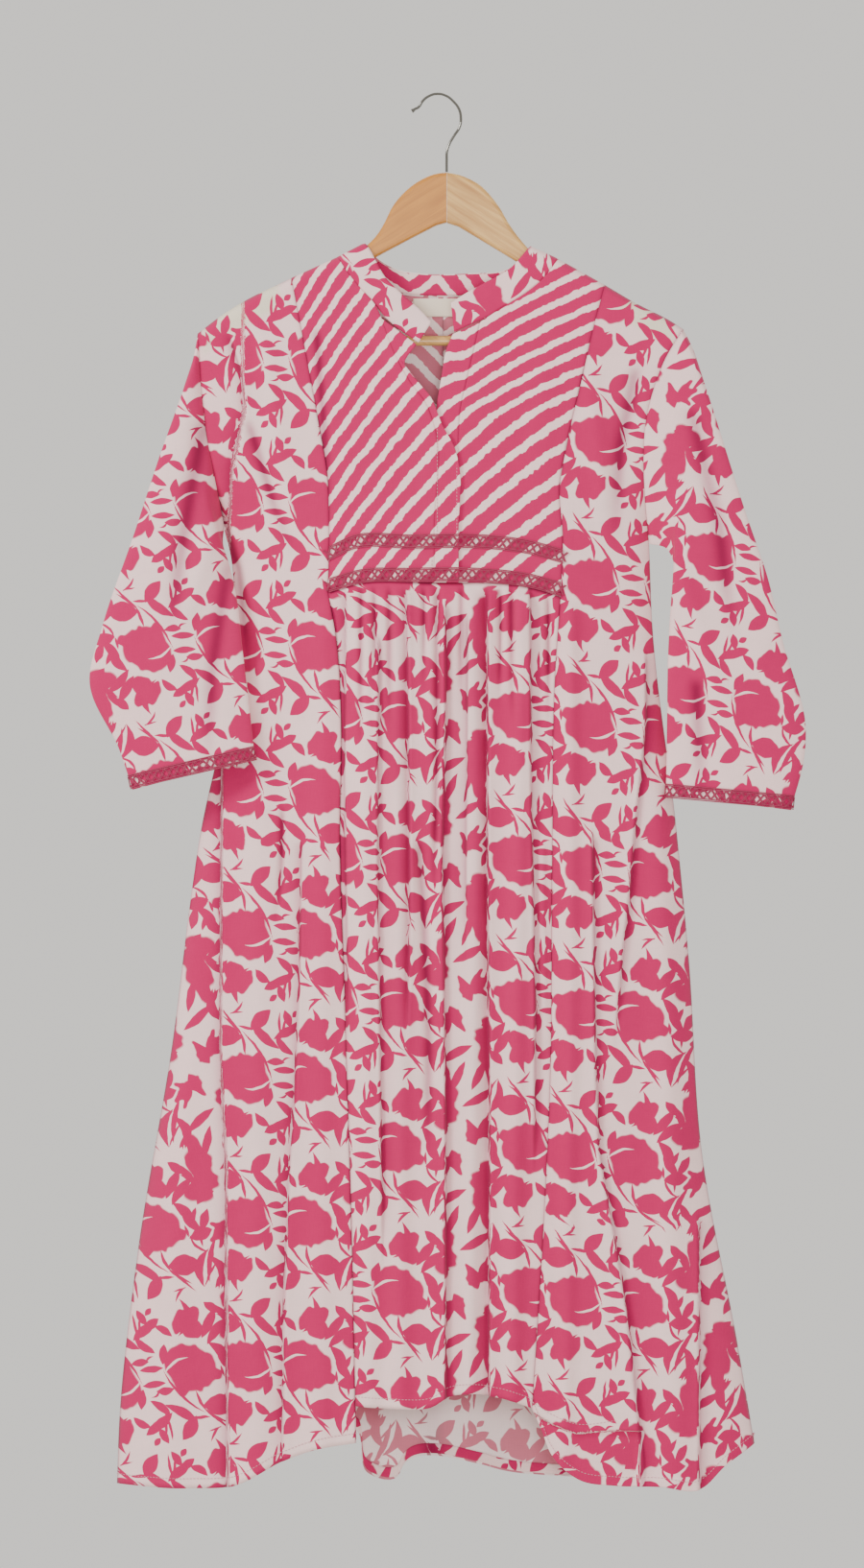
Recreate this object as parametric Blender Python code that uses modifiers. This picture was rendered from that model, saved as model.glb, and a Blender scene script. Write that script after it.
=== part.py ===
"""Long kurta tunic dress on a wooden hanger: one thin solid for each cut piece.

Metres, +Z up. The front of the dress faces -Y, and the origin is the top of the inside of the
hook, where a nail or rail holds it. Outlines are in millimetres, seen from the front as (X, Z).
"""

import math

import bmesh
import bpy
import numpy as np
from mathutils import Vector

MM = 0.001

# Cloth
WALL = 1.2
SEAM_GAP = 0.5  # each piece stops this far short of the seam line
RIDGE_GAP = 0.9  # front and back keep this far from the plane of the shoulders
LACE_WALL = 1.0
LACE_STANDOFF = 1.6  # from the middle of the cloth to the middle of the lace on it
PLACKET_LAP = 2.2  # the upper placket lies this far in front of the yoke
LAP_REACH, LAP_LESS = 20.0, 0.3  # the yoke rises to the placket's edge over this width, but for this much
FACING_INSET = 1.5
LABEL_INSET = 1.7
LABEL_WALL = 0.8

# How far the cloth stands off the plane of the hanger
ARM_STANDOFF = 8.5
RIDGE_RADIUS = 2.0
SIDE_CLOSE = 12.0
BELLY_ROUND = 0.7  # below 1, the front is flatter in the middle and rounder at the sides
CLOSE_FROM, CLOSE_TO = -330.0, -415.0  # heights over which the side seams draw together
LEVELS = (-1290, -1000, -700, -460, -330, -220, -139)
FRONT_BELLY = (34, 28, 22, 14, 9, 4, 0)
BACK_BELLY = (20, 17, 14, 10, 6, 3, 0)

# Seam lines of the body
SHOULDER_TIP_LEFT = [(-222, -222), (-198, -204), (-175, -190), (-142, -174)]
SHOULDER_LEFT = SHOULDER_TIP_LEFT + [(-135, -170.5), (-92, -151), (-67, -138)]
SHOULDER_TIP_RIGHT = [(156, -177), (183, -193), (218, -211), (229, -218)]
SHOULDER_RIGHT = [(87, -141), (113, -153)] + SHOULDER_TIP_RIGHT
ARMHOLE_LEFT = [(-222, -222), (-220, -263), (-216, -301), (-209, -344), (-201, -385), (-198, -401)]
ARMHOLE_RIGHT = [(229, -218), (213, -244), (201, -275), (194, -305), (192, -335), (193, -370), (197, -417)]
SIDE_LEFT = [
    (-198, -401), (-191, -430), (-188, -475), (-190, -525), (-197, -580), (-218, -679), (-247, -893),
    (-277, -1071), (-295, -1235), (-297, -1291),
]
SIDE_RIGHT = [(197, -417), (200, -492), (222, -679), (234, -804), (246, -982), (279, -1160), (295, -1254)]
PRINCESS_LEFT = [(-135, -170.5), (-125, -223), (-110, -305), (-102, -352), (-100, -400), (-101, -463)]
PRINCESS_RIGHT = [(156, -177), (144, -223), (135, -264), (121, -324), (114, -365), (117, -412), (115, -467)]
CENTRE_LEFT = [(-101, -463), (-93, -510), (-89, -580), (-90, -692), (-85, -846), (-79, -1031), (-75, -1216)]
CENTRE_RIGHT = [(115, -467), (110, -537), (107, -715), (105, -918), (100, -1026), (88, -1218)]
YOKE_HEM = [(-101, -463), (-77, -455), (-2, -454), (20, -454), (85, -458), (115, -467)]
HEM_CENTRE = [(-75, -1216), (-40, -1218), (-3, -1216), (8, -1209), (62, -1209), (88, -1218)]
CENTRE_LEFT_FOOT = (-74.5, -1250)  # the side panel hangs below the centre panel along their seam
HEM_LEFT = [(-297, -1291), (-226, -1293), (-191, -1291), (-142, -1267), (-111, -1256), CENTRE_LEFT_FOOT]
HEM_RIGHT = [
    (88, -1219), (97, -1240), (106, -1262), (133, -1286), (165, -1291), (209, -1292), (243, -1295),
    (268, -1273), (295, -1254),
]
BACK_YOKE_Z = -330.0
BACK_YOKE_LEFT, BACK_YOKE_RIGHT = (-211.5, BACK_YOKE_Z), (192.5, BACK_YOKE_Z)
BACK_HEM = [
    (-296, -1288), (-174, -1284), (-130, -1262), (-98, -1243), (-76, -1242), (-64, -1283), (-37, -1287),
    (-30, -1275), (40, -1275), (60, -1281), (95, -1285), (162, -1287), (235, -1290), (295, -1254),
]
CENTRE_BACK_X = 6.0

# Neck, placket and collar
NECK_LEFT = [(-92, -151), (-84, -164), (-71, -180), (-57, -196), (-51, -209)]
NECK_RIGHT = [(113, -153), (98, -172), (85, -183), (63, -197), (40, -212)]
NECK_BACK = [(-92, -151), (-62, -175), (-31, -185), (6, -187), (44, -185), (80, -175), (113, -153)]
COLLAR_SEAM_LEFT = [(-17, -231), (-33, -220), (-49, -206), (-57, -196), (-71, -180), (-84, -164), (-92, -151)]
COLLAR_EDGE_LEFT = [(-5, -212), (-15, -201), (-31, -187), (-50, -167), (-57, -154), (-63, -143), (-67, -138)]
COLLAR_SEAM_RIGHT = [(16, -221), (34, -213), (43, -209), (63, -197), (85, -183), (98, -172), (113, -153)]
COLLAR_EDGE_RIGHT = [(13, -194), (27, -185), (43, -176), (69, -161), (80, -149), (87, -141)]
COLLAR_EDGE_BACK = [
    (-67, -138), (-58, -149), (-41, -160), (-17, -165), (6, -166), (30, -165), (63, -162), (80, -152),
    (87, -141),
]
PLACKET_TOP = [(-51, -209), (-33, -222), (-19, -233)]
PLACKET_LEFT = [(-51, -209), (-38, -243), (-24, -268), (-10, -287), (-2, -308), (-2, -406), (-2, -454)]
PLACKET_RIGHT = [
    (-19, -233), (-30, -251), (-19, -266), (-5, -283), (5, -308), (16, -328), (20, -342), (20, -406),
    (20, -454),
]
UNDER_TOP = [(15, -223), (40, -212)]
UNDER_LEFT = [(15, -223), (10, -234), (4, -265), (0, -290), (-1, -330), (-1, -454)]
UNDER_RIGHT = [(40, -212), (34, -239), (28, -265), (22, -292), (20, -320), (20, -454)]
LABEL = (-22, 31, -188.5, -205.5)  # left, right, top, bottom

# Rough lengths of the pieces, which turn millimetres into shares of their grids
YOKE_LENGTH, SIDE_LENGTH, BACK_YOKE_LENGTH = 300.0, 1076.0, 115.0
CENTRE_LENGTH, CENTRE_WIDTH = 755.0, 200.0
BACK_LENGTH, BACK_WIDTH = 960.0, 400.0
SIDE_WIDTH_LEFT, SIDE_WIDTH_RIGHT, YOKE_WIDTH = 100.0, 84.0, 45.0
PLACKET_LENGTH, PLACKET_WIDTH, UNDER_WIDTH = 250.0, 14.0, 21.0
LACE_LENGTH, LACE_WIDTH = 220.0, 14.0

# Rows of the flat grids, in mm down from the shoulder
RIDGE_ROWS = [SEAM_GAP, 1.2, 2.4, 4.5, 9.0]
CHEST_ROWS_START, CHEST_ROWS_END, CHEST_ROW = 20.0, 300.0, 22.0
NECK_COLUMNS = [1.5, 4, 8, 14]  # columns past the shoulder, in mm
CENTRE_GAP = 1.2  # the gathered panel keeps further from its neighbours
PLACKET_END_GAP = 1.0

# Lace on the yoke
UPPER_LACE_TOP = [(-100, -420), (-77, -409), (-25, -409), (50, -409), (85, -414), (117, -422)]
UPPER_LACE_BOTTOM = [(-100, -434), (-77, -424), (-13, -423), (46, -424), (85, -428), (117, -437)]
LOWER_LACE_TOP = [(-100, -450), (-69, -441), (-25, -440), (46, -441), (85, -446), (115, -454)]
LACE_STEP_LEFT = (-30, -5)  # where the lace climbs onto the placket and down again
LACE_STEP_RIGHT = (22, 34)

# Sleeves: folded outer edge and folded inner edge, then the half depth of the tube
SLEEVE_OUT_LEFT = [
    (-222, -222), (-225, -241), (-233, -268), (-258, -341), (-281, -412), (-309, -494), (-321, -546),
    (-293, -610), (-281, -646),
]
SLEEVE_IN_LEFT = [
    (-198, -401), (-199, -417), (-193, -437), (-186, -468), (-180, -519), (-173, -577), (-169, -616),
]
SLEEVE_OUT_RIGHT = [
    (229, -218), (238, -237), (246, -261), (288, -394), (306, -447), (320, -506), (342, -595), (341, -612),
    (328, -665),
]
SLEEVE_IN_RIGHT = [
    (197, -417), (213, -421), (221, -437), (218, -470), (215, -522), (214, -581), (213, -651),
]
SLEEVE_HALF_DEPTH = 9.0
SLEEVE_ROUND = 0.7  # below 1, the tube is flatter than an ellipse
SLEEVE_BLEND = 0.2  # share of the sleeve over which it leaves the armhole's shape
FORWARD_RATE = 3.2  # how soon the sleeve swings forward below the shoulder
SEAM_END_SLOPE = 4.0
SLEEVE_TURNS, SLEEVE_ROWS = 20, 12
ARMHOLE_GAP = 1.2
SLEEVE_FORWARD_LEFT, SLEEVE_FORWARD_RIGHT = 33.0, 17.0
CUFF_LACE = 14.0
CUFF_STANDOFF = 2.1
CUFF_LACE_FROM_HEM = 0.8

# Hanger
JOINT_X = 9.3
ARM_TOP_LEFT = [
    (9, -72.1), (0, -73), (-13, -77.9), (-27.5, -88), (-41, -103.5), (-49, -119.5), (-55.5, -130),
    (-67, -141.5), (-92, -154.5), (-142, -177), (-175, -193), (-198, -207),
]
ARM_TIP_LEFT = [
    (-211, -217), (-213, -226), (-207, -236), (-188, -236), (-188, -219), (-142, -196), (-92, -170),
]
ARM_FOOT_LEFT = [(-57, -151), (-22, -132.5), (0, -121.2)]
ARM_TOP_RIGHT = [
    (9.5, -72.1), (20, -74), (31, -78.3), (41, -84.3), (50, -93.5), (59, -105.5), (67, -119.5), (74, -129.5),
    (80, -137), (88, -145.5), (113, -158), (156, -181), (183, -197), (213, -212),
]
ARM_TIP_RIGHT = [(220, -222), (214, -236), (197, -236), (197, -219), (156, -199), (113, -176)]
ARM_FOOT_RIGHT = [(74, -155), (40, -134.4), (20, -122.4)]
ARM_POINTS = 44
JOINT_TOP, JOINT_BOTTOM = -72.0, -116.4
JOINT_OVERRUN = 8.0
JOINT_GAP = 0.3
ARM_THICKNESS, ARM_ROUNDING = 12.0, 3.5
BAR_RADIUS = 4.6
BAR_Z, BAR_LEFT, BAR_RIGHT = -228.5, -187.6, 196.6
WIRE_RADIUS = 1.25
HOOK = [  # X, Z, and how many times the wire's own radius
    (-23.4, -14.9, 1.5), (-22.2, -14.2, 1.5), (-20.5, -13.0, 1), (-16.9, -11.1, 1), (-13.4, -5.8, 1),
    (-8.0, -1.2, 1), (0, 1.25, 1), (8.9, -0.6, 1), (15.5, -5.8, 1), (20.5, -12.5, 1), (22.4, -21, 1),
    (21.3, -29.4, 1), (16, -38, 1), (11.6, -45.6, 1), (9.5, -52, 1), (9.2, -60, 1), (9.2, -71.6, 1),
]

# Colours and surface
COTTON, STRIPE, ROSE = (0.83, 0.52, 0.58), (0.80, 0.38, 0.47), (0.62, 0.22, 0.30)
CREAM = (0.88, 0.83, 0.74)
WOOD_DARK, WOOD_PALE, CHROME = (0.60, 0.33, 0.13), (0.66, 0.42, 0.22), (0.55, 0.55, 0.56)
CLOTH_ROUGHNESS, WOOD_ROUGHNESS, CHROME_ROUGHNESS = 0.85, 0.45, 0.12
SHARP_EDGE = math.radians(40)


# ---------------------------------------------------------------- lines and surfaces


class Line:
    """A smooth line through points, called with a share of its length from 0 to 1."""

    def __init__(self, points):
        self.points = np.array(points, float)
        steps = np.linalg.norm(np.diff(self.points, axis=0), axis=1)
        self.reach = np.concatenate([[0.0], np.cumsum(steps)])
        self.slopes = np.gradient(self.points, self.reach, axis=0)
        self.length = self.reach[-1]

    def __call__(self, share):
        s = min(max(share, 0.0), 1.0) * self.length
        k = min(int(np.searchsorted(self.reach, s, side="right")) - 1, len(self.reach) - 2)
        h = self.reach[k + 1] - self.reach[k]
        f = (s - self.reach[k]) / h
        a, b = self.points[k], self.points[k + 1]
        start, end = self.slopes[k] * h, self.slopes[k + 1] * h
        return (
            a * (2 * f**3 - 3 * f**2 + 1)
            + start * (f**3 - 2 * f**2 + f)
            + b * (3 * f**2 - 2 * f**3)
            + end * (f**3 - f**2)
        )


class Joined:
    """Lines end to end, each taking the share of 0 to 1 that its own length has in the whole."""

    def __init__(self, *lines):
        self.lines = lines
        self.length = sum(line.length for line in lines)
        self.ends = np.cumsum([line.length / self.length for line in lines])

    def __call__(self, share):
        start = 0.0
        for line, end in zip(self.lines, self.ends):
            if share <= end or line is self.lines[-1]:
                return line((share - start) / (end - start))
            start = end


def smooth(value, start, end):
    """0 at start, 1 at end, easing between them."""
    f = min(max((value - start) / (end - start), 0.0), 1.0)
    return f * f * (3 - 2 * f)


def patch(top, bottom, left, right):
    """The surface (u, v) -> (X, Z) that fills four lines: u runs left to right, v downwards."""

    def point(u, v):
        blend = (1 - v) * top(u) + v * bottom(u) + (1 - u) * left(v) + u * right(v)
        corners = (1 - v) * ((1 - u) * top(0) + u * top(1)) + v * ((1 - u) * bottom(0) + u * bottom(1))
        return blend - corners

    return point


def across(points):
    """X and Z of a side line as arrays that np.interp can read by height."""
    line = np.array(sorted(points, key=lambda p: p[1]))
    return line[:, 1], line[:, 0]


SHOULDERS = np.array(SHOULDER_LEFT + SHOULDER_RIGHT)
EDGE_LEFT = across(ARMHOLE_LEFT + SIDE_LEFT[1:])
EDGE_RIGHT = across(ARMHOLE_RIGHT + SIDE_RIGHT[1:])
OVERLAP_EDGE = across(PLACKET_LEFT)


def depth(x, z, belly, ridge_gap=RIDGE_GAP):
    """How far the cloth stands in front of or behind the plane of the hanger."""
    left = np.interp(z, *EDGE_LEFT)
    right = np.interp(z, *EDGE_RIGHT)
    drop = max(np.interp(x, SHOULDERS[:, 0], SHOULDERS[:, 1]) - z, 0.0)
    to_side = max(min(x - left, right - x), 0.0)
    closed = smooth(z, CLOSE_FROM, CLOSE_TO) * math.exp(-to_side / SIDE_CLOSE)
    offset = (2 * x - left - right) / (right - left)
    round_out = max(1 - offset * offset, 0.0) ** BELLY_ROUND
    over_arm = ARM_STANDOFF * (1 - math.exp(-drop / RIDGE_RADIUS)) * (1 - closed)
    return ridge_gap + over_arm + np.interp(z, LEVELS, belly) * round_out


def front(point, forward=0.0):
    x, z = point
    return (x, -depth(x, z, FRONT_BELLY) - forward, z)


def back(point, forward=0.0):
    x, z = point
    return (x, depth(x, z, BACK_BELLY) - forward, z)


# ---------------------------------------------------------------- objects


def clear_scene():
    for obj in list(bpy.data.objects):
        bpy.data.objects.remove(obj, do_unlink=True)


def material(name, colour, roughness, metallic=0.0):
    made = bpy.data.materials.new(name)
    made.use_nodes = True
    shader = made.node_tree.nodes["Principled BSDF"]
    shader.inputs["Base Color"].default_value = (*colour, 1.0)
    shader.inputs["Roughness"].default_value = roughness
    shader.inputs["Metallic"].default_value = metallic
    made.diffuse_color = (*colour, 1.0)
    return made


def finish(obj, colour, roughness=CLOTH_ROUGHNESS, metallic=0.0):
    """Gives the object its own material and hangs it from the empty."""
    obj.data.materials.clear()
    obj.data.materials.append(material(obj.name, colour, roughness, metallic))
    obj.parent = bpy.data.objects["dress_on_hanger"]
    return obj


def link(name, data, collection="kurta_tunic_dress"):
    obj = bpy.data.objects.new(name, data)
    bpy.data.collections[collection].objects.link(obj)
    return obj


def inset(count, length, gap=SEAM_GAP):
    """Shares from 0 to 1 in even steps, less the seam gap at both ends."""
    edge = gap / length
    return np.linspace(edge, 1 - edge, count + 1)


def wall(name, surface, us, vs, colour, thickness=WALL, ring=False):
    """A thin solid on surface(u, v) -> (x, y, z), from a flat grid laid over it."""
    mesh = bpy.data.meshes.new(name)
    grid = bmesh.new()
    columns, rows = len(us) - 1, len(vs) - 1
    bmesh.ops.create_grid(grid, x_segments=columns, y_segments=rows, size=0.5)
    for vert in grid.verts:
        u = us[round((vert.co.x + 0.5) * columns)]
        v = vs[round((0.5 - vert.co.y) * rows)]
        vert.co = Vector(surface(u, v)) * MM
    if ring:
        bmesh.ops.remove_doubles(grid, verts=grid.verts, dist=0.00001)
    anchor = Vector(surface(us[0], vs[0])) * MM
    bmesh.ops.translate(grid, verts=grid.verts, vec=-anchor)
    grid.to_mesh(mesh)
    grid.free()
    mesh.shade_smooth()
    obj = link(name, mesh)
    obj.location = anchor
    skin = obj.modifiers.new("Cloth", "SOLIDIFY")
    skin.thickness = thickness * MM
    skin.offset = 0.0
    skin.use_even_offset = True
    return finish(obj, colour)


# ---------------------------------------------------------------- dress


def shoulder_rows(length, count):
    """Shares down a piece: close over the shoulder's ridge, then even to the armhole's foot, then wider."""
    chest = np.arange(CHEST_ROWS_START, min(CHEST_ROWS_END, length - CHEST_ROW * 0.7), CHEST_ROW)
    far = np.linspace(chest[-1] + CHEST_ROW, length - SEAM_GAP, count)
    return np.concatenate([RIDGE_ROWS, chest, far]) / length


def yokes():
    """The striped front yoke, whose left half rises to the upper placket along the slit."""
    rows = shoulder_rows(YOKE_LENGTH, 1)
    neck = Joined(Line(NECK_LEFT), Line(PLACKET_LEFT))
    shoulder = Line([PRINCESS_LEFT[0], NECK_LEFT[0]])
    area = patch(shoulder, Line(YOKE_HEM[:3]), Line(PRINCESS_LEFT), neck)

    def left_half(u, v):
        x, z = area(u, v)
        edge = np.interp(z, *OVERLAP_EDGE)
        return front((x, z), (PLACKET_LAP - LAP_LESS) * smooth(edge - x, LAP_REACH, 0))

    wall("yoke_front_left", left_half, inset(7, YOKE_WIDTH), rows, STRIPE)

    neck = Joined(Line(NECK_RIGHT), Line(UNDER_RIGHT))
    shoulder = Line([NECK_RIGHT[0], PRINCESS_RIGHT[0]])
    other = patch(shoulder, Line(YOKE_HEM[3:]), neck, Line(PRINCESS_RIGHT))
    wall("yoke_front_right", lambda u, v: front(other(u, v)), inset(7, YOKE_WIDTH), rows, STRIPE)


def plackets():
    """The two bands of the slit: the upper one lies on the lower one below the neck."""
    foot = Line([PLACKET_LEFT[-1], PLACKET_RIGHT[-1]])
    over = patch(Line(PLACKET_TOP), foot, Line(PLACKET_LEFT), Line(PLACKET_RIGHT))
    us, vs = inset(3, PLACKET_WIDTH), inset(16, PLACKET_LENGTH, PLACKET_END_GAP)
    wall("placket_over", lambda u, v: front(over(u, v), PLACKET_LAP), us, vs, STRIPE)
    foot = Line([UNDER_LEFT[-1], UNDER_RIGHT[-1]])
    under = patch(Line(UNDER_TOP), foot, Line(UNDER_LEFT), Line(UNDER_RIGHT))
    us, vs = inset(3, UNDER_WIDTH), inset(10, PLACKET_LENGTH, PLACKET_END_GAP)
    wall("placket_under", lambda u, v: front(under(u, v)), us, vs, STRIPE)


def front_panels():
    """The two side panels, from shoulder to hem, and the gathered panel between them."""
    left = patch(
        Line(SHOULDER_TIP_LEFT + [PRINCESS_LEFT[0]]),
        Line(HEM_LEFT),
        Joined(Line(ARMHOLE_LEFT), Line(SIDE_LEFT)),
        Joined(Line(PRINCESS_LEFT), Line(CENTRE_LEFT + [CENTRE_LEFT_FOOT])),
    )
    rows = shoulder_rows(SIDE_LENGTH, 17)
    wall("front_side_left", lambda u, v: front(left(u, v)), inset(7, SIDE_WIDTH_LEFT), rows, COTTON)
    right = patch(
        Line(SHOULDER_TIP_RIGHT),
        Line(HEM_RIGHT),
        Joined(Line(PRINCESS_RIGHT), Line(CENTRE_RIGHT)),
        Joined(Line(ARMHOLE_RIGHT), Line(SIDE_RIGHT)),
    )
    wall("front_side_right", lambda u, v: front(right(u, v)), inset(8, SIDE_WIDTH_RIGHT), rows, COTTON)
    centre = patch(Line(YOKE_HEM), Line(HEM_CENTRE), Line(CENTRE_LEFT), Line(CENTRE_RIGHT))
    us, vs = inset(10, CENTRE_WIDTH, CENTRE_GAP), inset(20, CENTRE_LENGTH, CENTRE_GAP)
    wall("front_centre", lambda u, v: front(centre(u, v)), us, vs, COTTON)


def neck_columns(shoulder, whole):
    """Shares along a back yoke's top: even along the shoulder, then closest where the neck drops."""
    sides = np.linspace(SEAM_GAP, shoulder, 6)
    neck = shoulder + np.array(NECK_COLUMNS)
    rest = np.linspace(shoulder + CHEST_ROW, whole - SEAM_GAP, 5)
    return np.concatenate([sides, neck, rest]) / whole


def back_panels():
    """The striped back yoke in two halves, and the back from the yoke down to the hem."""
    rows = shoulder_rows(BACK_YOKE_LENGTH, 1)
    centre = Line([(CENTRE_BACK_X, NECK_BACK[3][1]), (CENTRE_BACK_X, BACK_YOKE_Z)])
    foot_left = [BACK_YOKE_LEFT, (CENTRE_BACK_X, BACK_YOKE_Z)]
    foot_right = [(CENTRE_BACK_X, BACK_YOKE_Z), BACK_YOKE_RIGHT]

    shoulder = Line(SHOULDER_TIP_LEFT + [NECK_BACK[0]])
    top = Joined(shoulder, Line(NECK_BACK[:4]))
    side = Line([p for p in ARMHOLE_LEFT if p[1] > BACK_YOKE_Z] + [BACK_YOKE_LEFT])
    left = patch(top, Line(foot_left), side, centre)
    us = neck_columns(shoulder.length, top.length)
    wall("back_yoke_left", lambda u, v: back(left(u, v)), us, rows, STRIPE)

    shoulder = Line([NECK_BACK[-1]] + SHOULDER_TIP_RIGHT)
    top = Joined(Line(NECK_BACK[3:]), shoulder)
    side = Line([p for p in ARMHOLE_RIGHT if p[1] > BACK_YOKE_Z] + [BACK_YOKE_RIGHT])
    right = patch(top, Line(foot_right), centre, side)
    us = 1 - neck_columns(shoulder.length, top.length)[::-1]
    wall("back_yoke_right", lambda u, v: back(right(u, v)), us, rows, STRIPE)

    left_edge = [BACK_YOKE_LEFT] + [p for p in ARMHOLE_LEFT + SIDE_LEFT[1:] if p[1] < BACK_YOKE_Z]
    right_edge = [BACK_YOKE_RIGHT] + [p for p in ARMHOLE_RIGHT + SIDE_RIGHT[1:] if p[1] < BACK_YOKE_Z - 10]
    body = patch(Line([BACK_YOKE_LEFT, BACK_YOKE_RIGHT]), Line(BACK_HEM), Line(left_edge), Line(right_edge))
    us, vs = inset(22, BACK_WIDTH), inset(16, BACK_LENGTH)
    wall("back_body", lambda u, v: back(body(u, v)), us, vs, COTTON)


def collar():
    """The band from one front end, over the shoulder, round the back neck to the other front end."""
    seam = [Line(COLLAR_SEAM_LEFT), Line(NECK_BACK), Line(COLLAR_SEAM_RIGHT[::-1])]
    edge = [Line(COLLAR_EDGE_LEFT), Line(COLLAR_EDGE_BACK), Line(COLLAR_EDGE_RIGHT[::-1])]

    def band(u, v, inward=0.0):
        part = min(int(u), 2)
        share = u - part
        low, high = seam[part](share), edge[part](share)
        gap = SEAM_GAP / np.linalg.norm(high - low)
        x, z = low + (high - low) * (gap + v * (1 - gap))
        side = 1 if part == 1 else -1
        belly = BACK_BELLY if part == 1 else FRONT_BELLY
        return (x, side * depth(x, z, belly, 0.0) - inward, z)

    # The columns are closest at the two points where the band passes over an arm of the hanger.
    ridge = [0.9, 0.95, 0.975, 0.99, 1.0, 1.008, 1.02, 1.04, 1.08]
    us = np.array([0, 0.2, 0.4, 0.6, 0.8, *ridge, 1.2, 1.35, 1.5, 1.65, 1.8])
    us = np.concatenate([us, np.array(ridge) + 1, [2.2, 2.4, 2.6, 2.8, 2.999]])
    wall("collar_band", band, np.unique(np.round(us, 4)), np.linspace(0, 1, 4), COTTON)

    def facing(u, v):
        return band(u, v, FACING_INSET)

    us, vs = np.linspace(1.14, 1.86, 13), np.linspace(0.08, 0.94, 3)
    wall("collar_facing", facing, us, vs, STRIPE, LACE_WALL)

    left, right, top, bottom = LABEL

    def label(u, v):
        return back((left + (right - left) * u, top + (bottom - top) * v), LABEL_INSET)

    wall("label", label, np.linspace(0, 1, 6), np.linspace(0, 1, 3), CREAM, LABEL_WALL)


def yoke_lace(name, top, bottom):
    area = patch(Line(top), Line(bottom), Line([top[0], bottom[0]]), Line([top[-1], bottom[-1]]))

    def strip(u, v):
        x, z = area(u, v)
        climb = smooth(x, *LACE_STEP_LEFT) * (1 - smooth(x, *LACE_STEP_RIGHT))
        return front((x, z), LACE_STANDOFF + PLACKET_LAP * climb)

    wall(name, strip, inset(20, LACE_LENGTH), inset(2, LACE_WIDTH), ROSE, LACE_WALL)


def sleeve_surface(armhole, outer, inner, forward):
    """A flattened tube: u turns once round from the outer fold, v runs from armhole to cuff."""
    away = math.copysign(ARMHOLE_GAP, outer[0][0])
    seam = Line([(x + away, z) for x, z in armhole])
    outer = Line([(outer[0][0] + away, outer[0][1])] + outer[1:])
    inner = Line([(inner[0][0] + away, inner[0][1])] + inner[1:])
    area = patch(seam, Line([outer(1), inner(1)]), outer, inner)

    def tube(u, v):
        turn = 2 * math.pi * u
        share = (1 - math.cos(turn)) / 2
        x, z = area(share, v)
        rise = math.copysign(abs(math.sin(turn)) ** SLEEVE_ROUND, math.sin(turn))
        at_body = rise_at_body(*seam(share), turn)
        fade = smooth(v, 0.0, SLEEVE_BLEND)
        centre = -forward * (1 - math.exp(-FORWARD_RATE * v)) / (1 - math.exp(-FORWARD_RATE))
        return (x, centre - (1 - fade) * at_body - fade * SLEEVE_HALF_DEPTH * rise, z)

    return tube


def rise_at_body(x, z, turn):
    """Front and back of the armhole seam, closing at the shoulder tip and the underarm."""
    belly = FRONT_BELLY if math.sin(turn) > 0 else BACK_BELLY
    ends = min(abs(math.sin(turn)) * SEAM_END_SLOPE, 1.0)
    return math.copysign(depth(x, z, belly) * ends, math.sin(turn))


def offset_surface(surface, distance, step=1e-3):
    """The same surface moved out along its normal."""

    def moved(u, v):
        at = Vector(surface(u, v))
        along = Vector(surface(u + step, v)) - Vector(surface(u - step, v))
        down = Vector(surface(u, min(v + step, 1))) - Vector(surface(u, v - step))
        return at + along.cross(down).normalized() * distance

    return moved


def sleeves():
    turns = np.linspace(0, 1, SLEEVE_TURNS + 1)
    for side, armhole, outer, inner, forward in (
        ("left", ARMHOLE_LEFT, SLEEVE_OUT_LEFT, SLEEVE_IN_LEFT, SLEEVE_FORWARD_LEFT),
        ("right", ARMHOLE_RIGHT, SLEEVE_OUT_RIGHT, SLEEVE_IN_RIGHT, SLEEVE_FORWARD_RIGHT),
    ):
        tube = sleeve_surface(armhole, outer, inner, forward)
        rows = np.concatenate([[0.0, 0.03], np.linspace(0.07, 1, SLEEVE_ROWS)])
        wall(f"sleeve_{side}", tube, turns, rows, COTTON, ring=True)
        fold = Line(outer).length
        cuff_rows = 1 - (np.array([CUFF_LACE, CUFF_LACE / 2, 0]) + CUFF_LACE_FROM_HEM) / fold
        lace = offset_surface(tube, CUFF_STANDOFF)
        wall(f"lace_cuff_{side}", lace, turns, cuff_rows, ROSE, LACE_WALL, ring=True)


# ---------------------------------------------------------------- hanger


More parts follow.
